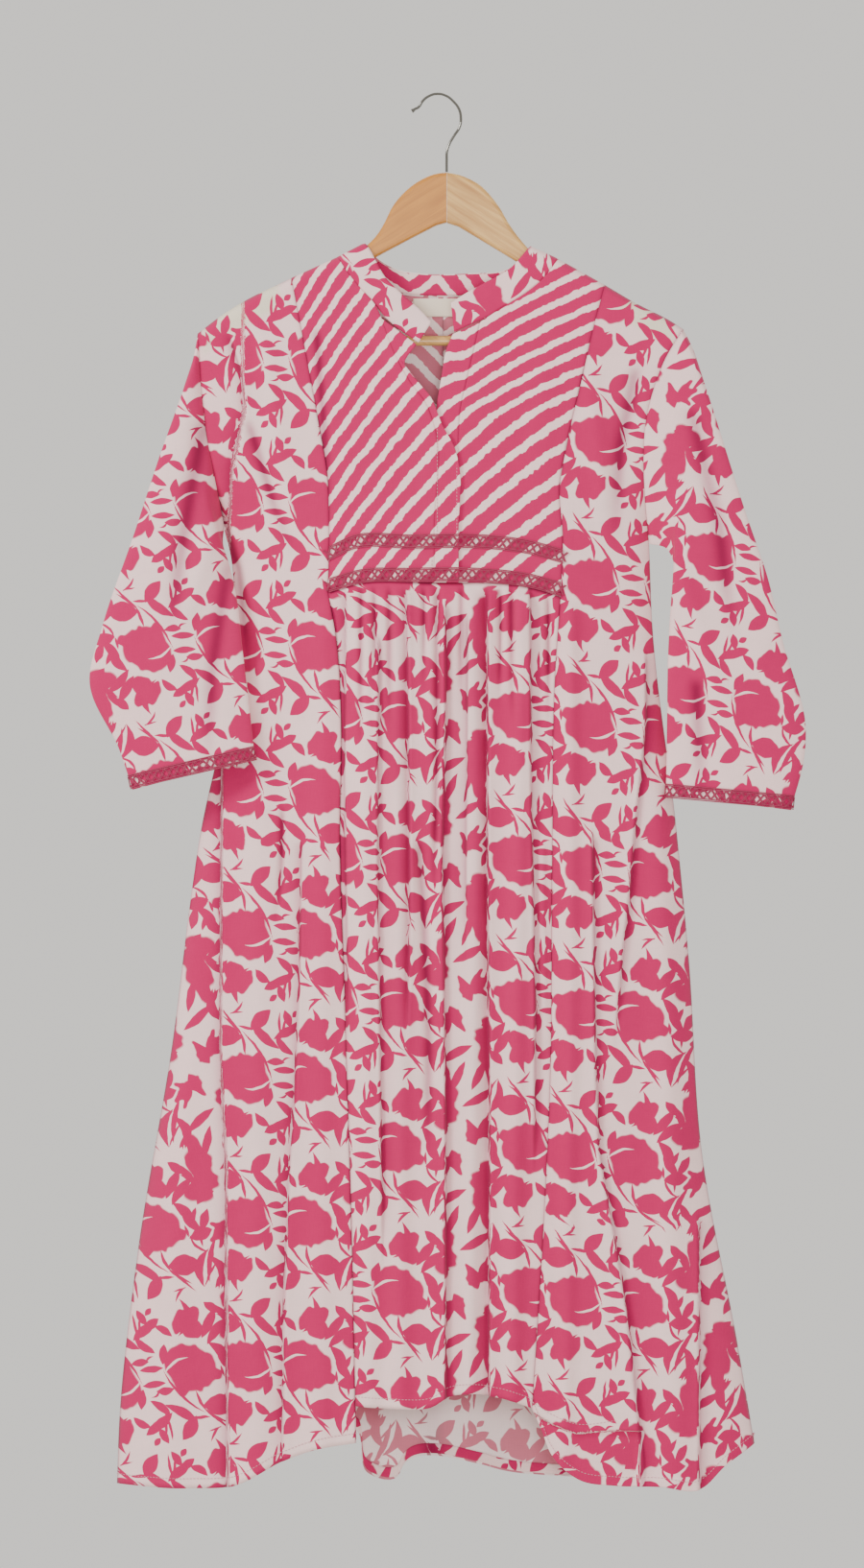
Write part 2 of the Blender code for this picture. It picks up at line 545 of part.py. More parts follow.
def hanger_arm(name, top, tip, foot, towards, colour):
    """Half of the hanger: a rounded board cut off square where it meets the other half."""
    reach = JOINT_X - towards * JOINT_OVERRUN
    crown = [Line(top)(share) for share in np.linspace(0, 1, ARM_POINTS)]
    points = [(reach, JOINT_TOP), *crown, *tip, *foot, (reach, JOINT_BOTTOM)]
    curve = bpy.data.curves.new(name + "_outline", "CURVE")
    curve.dimensions = "2D"
    curve.fill_mode = "BOTH"
    curve.extrude = (ARM_THICKNESS / 2 - ARM_ROUNDING) * MM
    curve.bevel_depth = ARM_ROUNDING * MM
    curve.bevel_resolution = 2
    curve.offset = -ARM_ROUNDING * MM
    spline = curve.splines.new("POLY")
    spline.points.add(len(points) - 1)
    for point, (x, z) in zip(spline.points, points):
        point.co = (x * MM, z * MM, 0, 1)
    spline.use_cyclic_u = True
    rough = link(name + "_outline", curve, "cutters")
    rough.rotation_euler = (math.pi / 2, 0, 0)
    bpy.context.view_layer.update()

    graph = bpy.context.evaluated_depsgraph_get()
    mesh = bpy.data.meshes.new_from_object(rough.evaluated_get(graph))
    mesh.transform(rough.matrix_world)
    board = bmesh.new()
    board.from_mesh(mesh)
    bmesh.ops.remove_doubles(board, verts=board.verts, dist=0.00001)
    board.to_mesh(mesh)
    board.free()
    bpy.data.objects.remove(rough, do_unlink=True)
    arm = link(name, mesh)

    size = 4 * JOINT_OVERRUN * MM
    bpy.ops.mesh.primitive_cube_add(size=1)
    cutter = bpy.context.active_object
    cutter.name = name + "_joint_cutter"
    cutter.dimensions = (size, size, 0.1)
    bpy.ops.object.transform_apply(location=False, rotation=False, scale=True)
    middle = (JOINT_X + towards * JOINT_GAP / 2) * MM - towards * size / 2
    cutter.location = (middle, 0, (JOINT_TOP + JOINT_BOTTOM) / 2 * MM)
    for collection in cutter.users_collection:
        collection.objects.unlink(cutter)
    bpy.data.collections["cutters"].objects.link(cutter)
    cutter.hide_render = True
    cutter.display_type = "WIRE"
    cut = arm.modifiers.new("Joint", "BOOLEAN")
    cut.operation = "DIFFERENCE"
    cut.object = cutter
    arm.data.shade_smooth()
    arm.data.set_sharp_from_angle(angle=SHARP_EDGE)
    finish(arm, colour, WOOD_ROUGHNESS)


def hanger_bar():
    bpy.ops.mesh.primitive_cylinder_add(
        vertices=24, radius=BAR_RADIUS * MM, depth=(BAR_RIGHT - BAR_LEFT) * MM,
        location=((BAR_LEFT + BAR_RIGHT) / 2 * MM, 0, BAR_Z * MM), rotation=(0, math.pi / 2, 0),
    )
    bar = bpy.context.active_object
    bar.name = "hanger_bar"
    for collection in bar.users_collection:
        collection.objects.unlink(bar)
    bpy.data.collections["kurta_tunic_dress"].objects.link(bar)
    finish(bar, WOOD_PALE, WOOD_ROUGHNESS)


def hanger_hook():
    curve = bpy.data.curves.new("hanger_hook", "CURVE")
    curve.dimensions = "3D"
    curve.bevel_depth = WIRE_RADIUS * MM
    curve.bevel_resolution = 2
    curve.use_fill_caps = True
    curve.resolution_u = 4
    spline = curve.splines.new("BEZIER")
    spline.bezier_points.add(len(HOOK) - 1)
    for point, (x, z, radius) in zip(spline.bezier_points, HOOK):
        point.co = (x * MM, 0, z * MM)
        point.radius = radius
        point.handle_left_type = point.handle_right_type = "AUTO"
    finish(link("hanger_hook", curve), CHROME, CHROME_ROUGHNESS, 1.0)


def main():
    clear_scene()
    for name in ("kurta_tunic_dress", "cutters"):
        bpy.context.scene.collection.children.link(bpy.data.collections.new(name))
    link("dress_on_hanger", None)
    yokes()
    plackets()
    front_panels()
    back_panels()
    collar()
    yoke_lace("lace_yoke_upper", UPPER_LACE_TOP, UPPER_LACE_BOTTOM)
    yoke_lace("lace_yoke_lower", LOWER_LACE_TOP, YOKE_HEM)
    sleeves()
    hanger_arm("hanger_arm_left", ARM_TOP_LEFT, ARM_TIP_LEFT, ARM_FOOT_LEFT, -1, WOOD_DARK)
    hanger_arm("hanger_arm_right", ARM_TOP_RIGHT, ARM_TIP_RIGHT, ARM_FOOT_RIGHT, 1, WOOD_PALE)
    hanger_bar()
    hanger_hook()


main()
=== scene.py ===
import math

import bpy
import numpy as np
from bpy.props import FloatProperty, FloatVectorProperty, PointerProperty
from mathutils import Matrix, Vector


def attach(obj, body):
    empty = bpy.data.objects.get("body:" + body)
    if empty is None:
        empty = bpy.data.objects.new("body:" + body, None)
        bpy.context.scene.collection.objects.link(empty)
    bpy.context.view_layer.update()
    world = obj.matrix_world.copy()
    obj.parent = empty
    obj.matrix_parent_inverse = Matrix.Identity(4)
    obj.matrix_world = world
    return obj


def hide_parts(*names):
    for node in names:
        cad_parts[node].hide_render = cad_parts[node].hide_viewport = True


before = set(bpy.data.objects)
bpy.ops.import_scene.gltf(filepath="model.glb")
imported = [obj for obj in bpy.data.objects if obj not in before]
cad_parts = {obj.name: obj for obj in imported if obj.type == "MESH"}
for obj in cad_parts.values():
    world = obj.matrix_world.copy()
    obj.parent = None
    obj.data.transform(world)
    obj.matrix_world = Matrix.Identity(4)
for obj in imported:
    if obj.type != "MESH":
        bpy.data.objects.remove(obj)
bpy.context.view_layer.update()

bl_info = {
    "name": "Kurta tunic dress on a wooden hanger",
    "version": (1, 0, 0),
    "blender": (4, 5, 0),
    "location": "View3D > Sidebar > Kurta",
    "description": "Builds a block-printed cotton tunic dress hung on a wooden hanger",
    "category": "Object",
}

MM = 0.001
BODY = "root"
HANGER_ARMS = ["hanger_arm_left", "hanger_arm_right"]

# ---------------------------------------------------------------- the cut, as it hangs (X, Z in mm)

SHOULDER_LEFT = [
    (-222, -222), (-198, -204), (-175, -190), (-142, -174), (-135, -170.5), (-92, -151), (-67, -138),
]
SHOULDER_RIGHT = [(87, -141), (113, -153), (156, -177), (183, -193), (218, -211), (229, -218)]
ARMHOLE_LEFT = [(-222, -222), (-220, -263), (-216, -301), (-209, -344), (-201, -385), (-198, -401)]
ARMHOLE_RIGHT = [(229, -218), (213, -244), (201, -275), (194, -305), (192, -335), (193, -370), (197, -417)]
SIDE_LEFT = [
    (-198, -401), (-191, -430), (-188, -475), (-190, -525), (-197, -580), (-218, -679), (-247, -893),
    (-277, -1071), (-295, -1235), (-297, -1291),
]
SIDE_RIGHT = [(197, -417), (200, -492), (222, -679), (234, -804), (246, -982), (279, -1160), (295, -1254)]
PRINCESS_LEFT = [(-135, -170.5), (-125, -223), (-110, -305), (-102, -352), (-100, -400), (-101, -463)]
PRINCESS_RIGHT = [(156, -177), (144, -223), (135, -264), (121, -324), (114, -365), (117, -412), (115, -467)]
CENTRE_LEFT = [(-101, -463), (-93, -510), (-89, -580), (-90, -692), (-85, -846), (-79, -1031), (-75, -1216)]
CENTRE_RIGHT = [(115, -467), (110, -537), (107, -715), (105, -918), (100, -1026), (88, -1218)]
YOKE_HEM = [(-101, -463), (-77, -455), (-2, -454), (20, -454), (85, -458), (115, -467)]
HEM_CENTRE = [(-75, -1216), (-40, -1218), (-3, -1216), (8, -1209), (62, -1209), (88, -1218)]
HEM_LEFT = [(-297, -1291), (-226, -1293), (-191, -1291), (-142, -1267), (-111, -1256), (-74.5, -1250)]
HEM_RIGHT = [
    (88, -1219), (97, -1240), (106, -1262), (133, -1286), (165, -1291), (209, -1292), (243, -1295),
    (268, -1273), (295, -1254),
]
BACK_YOKE_Z, BACK_YOKE_LEFT_X, BACK_YOKE_RIGHT_X = -330.0, -211.5, 192.5
BACK_HEM = [
    (-296, -1288), (-174, -1284), (-130, -1262), (-98, -1243), (-76, -1242), (-64, -1283), (-37, -1287),
    (-30, -1275), (40, -1275), (60, -1281), (95, -1285), (162, -1287), (235, -1290), (295, -1254),
]
CENTRE_BACK_X = 6.0
NECK_LEFT = [(-92, -151), (-84, -164), (-71, -180), (-57, -196), (-51, -209)]
NECK_RIGHT = [(113, -153), (98, -172), (85, -183), (63, -197), (40, -212)]
NECK_BACK = [(-92, -151), (-62, -175), (-31, -185), (6, -187), (44, -185), (80, -175), (113, -153)]
COLLAR_SEAM_LEFT = [
    (-17, -231), (-33, -220), (-49, -206), (-57, -196), (-71, -180), (-84, -164), (-92, -151),
]
COLLAR_EDGE_LEFT = [
    (-5, -212), (-15, -201), (-31, -187), (-50, -167), (-57, -154), (-63, -143), (-67, -138),
]
COLLAR_SEAM_RIGHT = [(16, -221), (34, -213), (43, -209), (63, -197), (85, -183), (98, -172), (113, -153)]
COLLAR_EDGE_RIGHT = [(13, -194), (27, -185), (43, -176), (69, -161), (80, -149), (87, -141)]
COLLAR_EDGE_BACK = [(-67, -138), (-58, -149), (-41, -160), (-17, -165), (6, -166), (30, -165), (63, -162),
                    (80, -152), (87, -141)]
PLACKET_TOP = [(-51, -209), (-33, -222), (-19, -233)]
PLACKET_LEFT = [(-51, -209), (-38, -243), (-24, -268), (-10, -287), (-2, -308), (-2, -406), (-2, -454)]
PLACKET_RIGHT = [(-19, -233), (-30, -251), (-19, -266), (-5, -283), (5, -308), (16, -328), (20, -342),
                 (20, -406), (20, -454)]
UNDER_TOP = [(15, -223), (40, -212)]
UNDER_LEFT = [(15, -223), (10, -234), (4, -265), (0, -290), (-1, -330), (-1, -454)]
UNDER_RIGHT = [(40, -212), (34, -239), (28, -265), (22, -292), (20, -320), (20, -454)]
LABEL = (-22, 31, -188.5, -205.5)
UPPER_LACE = [(-100, -427), (-77, -416.5), (-25, -416), (50, -416.5), (85, -421), (117, -429.5)]
LOWER_LACE = [(-100, -456.5), (-69, -448), (-25, -447), (46, -447.5), (85, -452), (115, -460)]
LACE_STEP_LEFT, LACE_STEP_RIGHT = (-30, -5), (22, 34)
SLEEVE_OUT_LEFT = [(-222, -222), (-225, -241), (-233, -268), (-258, -341), (-281, -412), (-309, -494),
                   (-321, -546), (-293, -610), (-281, -646)]
SLEEVE_IN_LEFT = [
    (-198, -401), (-199, -417), (-193, -437), (-186, -468), (-180, -519), (-173, -577), (-169, -616),
]
SLEEVE_OUT_RIGHT = [
    (229, -218), (238, -237), (246, -261), (288, -394), (306, -447), (320, -506), (342, -595),
    (341, -612), (328, -665),
]
SLEEVE_IN_RIGHT = [
    (197, -417), (213, -421), (221, -437), (218, -470), (215, -522), (214, -581), (213, -651),
]
SLEEVE_HALF_DEPTH = 9.0
SLEEVE_EASE = 1.056  # how much wider the sleeve is cut than it lies
SLEEVE_FORWARD = {"left": 33.0, "right": 17.0}

# How far the cloth stands off the hanger's arms, and where the side seams draw front and back together
ARM_STANDOFF, RIDGE_RADIUS, RIDGE_GAP = 8.5, 2.0, 0.9
SIDE_CLOSE, CLOSE_FROM, CLOSE_TO = 12.0, -330.0, -415.0
# How far front and back belly out at these heights
LEVELS = (-1290, -1000, -700, -460, -330, -220, -139)
FRONT_BELLY = (34, 28, 22, 14, 9, 4, 0)
BACK_BELLY = (20, 17, 14, 10, 6, 3, 0)
PLACKET_LAP = 2.2
CUFF_BAND = 14.0
HEM_STITCH = 9.0  # from the hem up to its stitches
LACE_SIZES = {"Half height": 0.0047, "Pitch": 0.0071}
LACE_LIFT = 1.3

# Folds: points down the fold, kind, width, height, and cloth tucked away in it. A "groove" dips, a "ridge"
# stands out, and a "lap" is a folded edge whose cloth on the right (positive width) or left lies on top.
# A fold comes in over FOLD_START and dies away over FOLD_END; a lap slopes over LAP_OVER above its edge and
# LAP_UNDER below it, and LAP_SHADE of the cloth below it gets painted shade, as does the middle of a groove.
FOLD_START, FOLD_END = 14.0, 90.0
LAP_OVER, LAP_UNDER, LAP_SHADE = 16.0, 7.0, 4.6
CENTRE_FOLDS = [
    ([(-84, -458), (-85, -640), (-81, -900)], "lap", 2.2, 3.0, 8),
    ([(-70, -456), (-71, -620)], "groove", 3.0, 4.2, 0),
    ([(-58, -456), (-57, -560)], "groove", 2.6, 3.4, 0),
    ([(-54, -500), (-55, -700), (-52, -940), (-50, -1100)], "lap", -2.4, 3.4, 8),
    ([(-44, -456), (-44, -600)], "groove", 3.0, 4.2, 0),
    ([(-28, -456), (-26, -600), (-25, -760), (-28, -900)], "lap", 2.8, 4.8, 12),
    ([(-12, -456), (-12, -560)], "groove", 2.6, 3.6, 0),
    ([(0, -456), (0, -620), (-3, -760)], "groove", 3.2, 4.4, 0),
    ([(8, -470), (8, -585), (5, -700), (8, -935), (8, -1300)], "lap", -3.0, 5.2, 14),
    ([(23, -456), (22, -580)], "groove", 2.8, 4.0, 0),
    ([(29, -480), (28, -640), (26, -820)], "lap", 2.2, 3.0, 6),
    ([(47, -456), (47, -700), (49, -940), (48, -1300)], "lap", 3.0, 6.0, 18),
    ([(59, -456), (58, -580)], "groove", 2.8, 3.8, 0),
    ([(69, -456), (70, -600)], "groove", 3.0, 4.0, 0),
    ([(86, -458), (87, -640), (91, -840), (90, -1010)], "lap", -3.0, 4.8, 12),
    ([(103, -462), (104, -600)], "groove", 2.8, 4.0, 0),
    ([(-35, -456), (-37, -600), (-34, -800), (-34, -1300)], "ridge", 10, 5.6, 0),
    ([(-68, -470), (-66, -900), (-62, -1300)], "ridge", 11, 5.0, 0),
    ([(33, -460), (36, -700), (32, -1000), (28, -1300)], "ridge", 9, 5.6, 0),
    ([(78, -460), (76, -700), (72, -1000), (70, -1300)], "ridge", 9, 5.2, 0),
    ([(-17, -690), (-13, -740), (-7, -870), (-8, -1000)], "groove", 5, 4.6, 0),
    ([(97, -690), (98, -770), (100, -900)], "ridge", 4, 3.2, 0),
]
LEFT_FOLDS = [
    ([(-194, -219), (-180, -263), (-178, -294), (-190, -347), (-192, -394), (-196, -480), (-199, -608),
      (-200, -893), (-195, -988), (-193, -1420)], "lap", 3.4, 4.2, 0),
    ([(-143, -660), (-144, -726), (-151, -780)], "groove", 3.4, 3.4, 0),
    ([(-125, -690), (-127, -812), (-131, -915), (-137, -1010), (-142, -1150), (-143, -1310)], "lap", 3.2, 4.2,
     16),
    ([(-166, -520), (-166, -760), (-168, -1420)], "ridge", 16, 5.0, 0),
    ([(-104, -470), (-106, -760), (-108, -1420)], "ridge", 12, 4.0, 0),
    ([(-232, -760), (-243, -1000), (-250, -1420)], "ridge", 18, 5.0, 0),
    ([(-160, -225), (-146, -330), (-130, -400)], "ridge", 10, 2.6, 0),
    ([(-176, -300), (-150, -385), (-128, -440)], "groove", 6, 2.0, 0),
    ([(-212, -360), (-184, -440), (-172, -560)], "groove", 5, 2.6, 0),
]
RIGHT_FOLDS = [
    ([(194, -516), (194, -588), (183, -690), (179, -740), (173, -792), (163, -897)], "lap", -3.4, 4.0, 10),
    ([(144, -683), (147, -900), (150, -979), (161, -1040), (176, -1130), (190, -1262), (190, -1360)], "lap",
     -3.0, 4.4, 14),
    ([(243, -1040), (243, -1420)], "lap", -2.4, 4.6, 22),
    ([(124, -470), (124, -800), (122, -1000), (118, -1300)], "ridge", 8, 4.4, 0),
    ([(204, -640), (215, -900), (222, -1420)], "ridge", 16, 5.4, 0),
    ([(140, -250), (150, -330), (160, -430)], "ridge", 10, 3.0, 0),
    ([(186, -250), (170, -330), (166, -430)], "groove", 8, 2.4, 0),
]
# The right panel's pleat: its own hem, which ends as it fades into the panel between these two X
PLEAT_HEM = [(80, -1217), (86, -1220), (107, -1233), (129, -1241.5), (165, -1239), (200, -1240)]
PLEAT_END = (184, 192)
PLEAT_SHIFT = (64, 30)  # how far on the print goes on behind the pleat
# Where the print of the left panel breaks off, down the fold at its side
PRINT_BREAK = [
    (-180, -180), (-180, -263), (-178, -294), (-190, -347), (-192, -394), (-196, -480), (-199, -608),
    (-200, -893), (-195, -988), (-193, -1340),
]
BACK_FOLDS = [
    ([(-200, -500), (-215, -1420)], "ridge", 22, 6.0, 0),
    ([(-120, -420), (-130, -1420)], "groove", 14, 5.0, 0),
    ([(-62, -420), (-60, -1420)], "ridge", 16, 6.0, 0),
    ([(-6, -340), (-4, -1420)], "groove", 12, 5.0, 0),
    ([(54, -420), (60, -1420)], "ridge", 16, 6.0, 0),
    ([(118, -420), (130, -1420)], "groove", 14, 5.0, 0),
    ([(186, -500), (210, -1420)], "ridge", 22, 6.0, 0),
    ([(-50, -1080), (-50, -1420)], "ridge", 13, -7.0, 0),
]
SLEEVE_FOLDS = {
    "left": [
        ([(-216, -300), (-236, -420), (-248, -520)], "groove", 9, 2.4, 0),
        ([(-205, -395), (-228, -470), (-262, -560)], "ridge", 10, 3.0, 0),
        ([(-192, -430), (-208, -540), (-212, -640)], "groove", 8, 2.4, 0),
    ],
    "right": [
        ([(236, -290), (262, -400), (276, -520)], "groove", 9, 2.6, 0),
        ([(222, -430), (248, -520), (290, -620)], "ridge", 11, 3.2, 0),
        ([(240, -540), (246, -670)], "groove", 8, 2.6, 0),
    ],
}


class Line:
    """A smooth line through points, read at shares of its length from 0 to 1."""

    def __init__(self, points):
        self.points = np.array(points, float)
        steps = np.linalg.norm(np.diff(self.points, axis=0), axis=1)
        self.reach = np.concatenate([[0.0], np.cumsum(steps)])
        self.slopes = np.gradient(self.points, self.reach, axis=0)
        self.length = self.reach[-1]

    def __call__(self, share):
        s = np.clip(np.asarray(share, float), 0, 1) * self.length
        k = np.clip(np.searchsorted(self.reach, s, side="right") - 1, 0, len(self.reach) - 2)
        h = (self.reach[k + 1] - self.reach[k])[..., None]
        f = (s - self.reach[k])[..., None] / h
        a, b = self.points[k], self.points[k + 1]
        start, end = self.slopes[k] * h, self.slopes[k + 1] * h
        return (a * (2 * f**3 - 3 * f**2 + 1) + start * (f**3 - 2 * f**2 + f)
                + b * (3 * f**2 - 2 * f**3) + end * (f**3 - f**2))


class Joined:
    """Lines end to end, each taking the share of 0 to 1 that its own length has in the whole."""

    def __init__(self, *lines):
        self.lines = lines
        self.length = sum(line.length for line in lines)

    def __call__(self, share):
        s = np.clip(np.asarray(share, float), 0, 1) * self.length
        out = np.zeros(s.shape + (2,))
        start = 0.0
        for line in self.lines:
            here = s >= start - 1e-9
            out[here] = line((s[here] - start) / line.length)
            start += line.length
        return out


def smooth(value, start, end):
    """0 at start, 1 at end, easing between them."""
    f = np.clip((value - start) / (end - start), 0, 1)
    return f * f * (3 - 2 * f)


def patch(top, bottom, left, right):
    """The X, Z grid that fills four lines: columns run left to right, rows downwards."""

    def grid(us, vs):
        u, v = us[None, :, None], vs[:, None, None]
        t, b, l, r = top(us)[None], bottom(us)[None], left(vs)[:, None], right(vs)[:, None]
        across_top = (1 - u) * top(0.0) + u * top(1.0)
        across_bottom = (1 - u) * bottom(0.0) + u * bottom(1.0)
        corners = (1 - v) * across_top + v * across_bottom
        both = (1 - v) * t + v * b + (1 - u) * l + u * r - corners
        return both[..., 0], both[..., 1]

    return grid


def by_height(points):
    """Points as np.interp wants them, to read X at a height."""
    line = np.array(sorted(points, key=lambda p: p[1]))
    return line[:, 1], line[:, 0]


SHOULDERS = np.array(SHOULDER_LEFT + SHOULDER_RIGHT)
EDGE_LEFT = by_height(ARMHOLE_LEFT + SIDE_LEFT[1:])
EDGE_RIGHT = by_height(ARMHOLE_RIGHT + SIDE_RIGHT[1:])


def depth(x, z, belly, ridge_gap=RIDGE_GAP):
    """How far the cloth stands in front of or behind the plane of the hanger."""
    left, right = np.interp(z, *EDGE_LEFT), np.interp(z, *EDGE_RIGHT)
    drop = np.maximum(np.interp(x, SHOULDERS[:, 0], SHOULDERS[:, 1]) - z, 0)
    to_side = np.maximum(np.minimum(x - left, right - x), 0)
    closed = smooth(z, CLOSE_FROM, CLOSE_TO) * np.exp(-to_side / SIDE_CLOSE)
    offset = (2 * x - left - right) / (right - left)
    round_out = np.maximum(1 - offset * offset, 0) ** 0.7
    over_arm = ARM_STANDOFF * (1 - np.exp(-drop / RIDGE_RADIUS)) * (1 - closed)
    return ridge_gap + over_arm + np.interp(z, LEVELS, belly) * round_out


def fold_up(x, z, folds):
    """How far the folds lift each point, the cloth they tuck away to its left, and how much painted shade its
    colour gets in a fold.
    """
    lift, tucked, fold_shade = np.zeros_like(x), np.zeros_like(x), np.zeros_like(x)
    for points, kind, width, height, tuck in folds:
        line = np.array(points, float)[::-1]
        top, bottom = line[-1, 1], line[0, 1]
        at = np.interp(z, line[:, 1], line[:, 0])
        fade = smooth(top + 1 - z, 0, FOLD_START)
        fade = fade * smooth(z - bottom, 0, min(FOLD_END, 0.6 * (top - bottom)))
        s = (x - at) / width
        if kind == "groove":
            lift -= fade * height * np.exp(-s * s)
            fold_shade += fade * np.exp(-(s * 1.3) ** 2)
        elif kind == "ridge":
            lift += fade * height * np.exp(-s * s)
        else:
            over = smooth(s, -0.5, 0.5)
            before, after = (np.maximum(side, 0) * abs(width) for side in (-s, s))
            on_top = height * np.exp(-after / LAP_OVER)
            under = -0.6 * height * np.exp(-before / LAP_UNDER)
            lift += fade * (over * on_top + (1 - over) * under)
            fold_shade += fade * smooth(-s, -0.7, 0.1) * np.exp(-before / LAP_SHADE)
            tucked += fade * tuck * (smooth((x - at) / abs(width), -0.5, 0.5) - 0.5)
    return lift, tucked, np.clip(fold_shade, 0, 1)


# ---------------------------------------------------------------- meshes


def keep(name, mesh, materials, nodes):
    """Links a finished mesh as a piece that rides on the body and stands for its CAD nodes."""
    obj = bpy.data.objects.new(name, mesh)
    bpy.context.scene.collection.objects.link(obj)
    for material in materials:
        mesh.materials.append(material)
    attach(obj, BODY)
    if nodes:
        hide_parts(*nodes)
    return obj


def settle(obj):
    """Turns an object's live modifiers into its own plain mesh."""
    bpy.context.view_layer.update()
    graph = bpy.context.evaluated_depsgraph_get()
    mesh = bpy.data.meshes.new_from_object(obj.evaluated_get(graph), depsgraph=graph)
    old = obj.data
    obj.modifiers.clear()
    obj.data = mesh
    bpy.data.meshes.remove(old)
    return obj


def quads(grid, facing):
    """The four corners of each square of a grid, in the order that makes its face point the right way."""
    a, b, c, d = grid[:-1, :-1], grid[:-1, 1:], grid[1:, 1:], grid[1:, :-1]
    return np.stack((a, b, c, d) if facing > 0 else (a, d, c, b), -1)


def cut_area(cut, points):
    """The area of a cut in square metres. What a fold tucks away counts for 3 times what shows at most."""
    u, v = cut
    flat = np.abs((u[:-1, 1:] - u[:-1, :-1]) * (v[1:, :-1] - v[:-1, :-1])
                  - (u[1:, :-1] - u[:-1, :-1]) * (v[:-1, 1:] - v[:-1, :-1]))
    right, down = points[:-1, 1:] - points[:-1, :-1], points[1:, :-1] - points[:-1, :-1]
    worn = np.linalg.norm(np.cross(right, down), axis=-1)
    return float(np.minimum(flat * MM * MM, 3 * worn).sum())


def cloth(name, node, slot, materials, place, cut, fold_shade, thickness, facing, lies, ring=False):
    """A piece of cloth: a closed thin shell on a grid of points, with its flat cut as a UV map in metres."""
    points = np.stack(place, -1) * MM
    rows, columns = fold_shade.shape
    corners = np.arange(rows * columns).reshape(rows, columns)
    index = corners.copy()
    if ring:
        index[:, -1] = index[:, 0]
    faces = quads(index, facing).reshape(-1, 4)
    used = np.zeros(rows * columns, bool)
    used[faces] = True
    renumber = np.cumsum(used) - 1
    mesh = bpy.data.meshes.new(name)
    mesh.from_pydata(points.reshape(-1, 3)[used].tolist(), [], renumber[faces].tolist())
    flat = np.stack(cut, -1).reshape(-1, 2) * MM
    mesh.uv_layers.new(name="Cut").data.foreach_set("uv", flat[quads(corners, facing).reshape(-1)].ravel())
    tint = mesh.attributes.new("Fold shade", "FLOAT", "POINT")
    tint.data.foreach_set("value", np.ascontiguousarray(fold_shade.reshape(-1)[used], np.float32))
    obj = keep(name, mesh, materials, [node] if node else [])
    skin = obj.modifiers.new("Cloth", "SOLIDIFY")
    skin.thickness = thickness * MM
    skin.offset = 0.0
    skin.material_offset = 1
    skin.material_offset_rim = 0
    settle(obj)
    obj.data.shade_smooth()
    size = smallest_rectangle(cut[0].ravel(), cut[1].ravel())
    return obj, size, min(cut_area(cut, points), size[0] * size[1]), lies


def smallest_rectangle(u, v):
    """Width and length in metres of the smallest rectangle of cloth that a piece can be cut from."""
    best = None
    for turn in np.radians(np.arange(-60, 61, 5)):
        sides = (np.ptp(u * np.cos(turn) + v * np.sin(turn)), np.ptp(v * np.cos(turn) - u * np.sin(turn)))
        if best is None or sides[0] * sides[1] < best[0] * best[1] - 1:
            best = sides
    return [round(float(side) * MM, 3) for side in best]


def grain(x, z, origin, tilt, scale=1.0):
    """Where each point lies on the printed cloth, in mm from the middle of a repeat."""
    angle = math.radians(tilt)
    dx, dz = x - origin[0], z - origin[1]
    return ((dx * math.cos(angle) + dz * math.sin(angle)) * scale,
            (dz * math.cos(angle) - dx * math.sin(angle)) * scale)


def seam_roll(x, z, edges, amount=0.9, reach=1.8):
    """Lets the named edges of a grid (l, r, t, b) dip into their seams."""
    roll = np.zeros_like(x)
    width = np.abs(x[:, -1:] - x[:, :1])
    u = np.abs(x - x[:, :1])
    height = np.abs(z - z[:1])
    for edge, away in (("l", u), ("r", width - u), ("t", height), ("b", height[-1:] - height)):
        if edge in edges:
            roll = np.maximum(roll, amount * np.exp(-np.maximum(away, 0) / reach))
    return roll


def spread(length, step):
    """Shares from 0 to 1, about a step apart along a length in mm."""
    return np.linspace(0, 1, max(int(round(length / step)), 2) + 1)


# ---------------------------------------------------------------- the block print (mm on the printed cloth)

REPEAT = (226.0, 133.0)
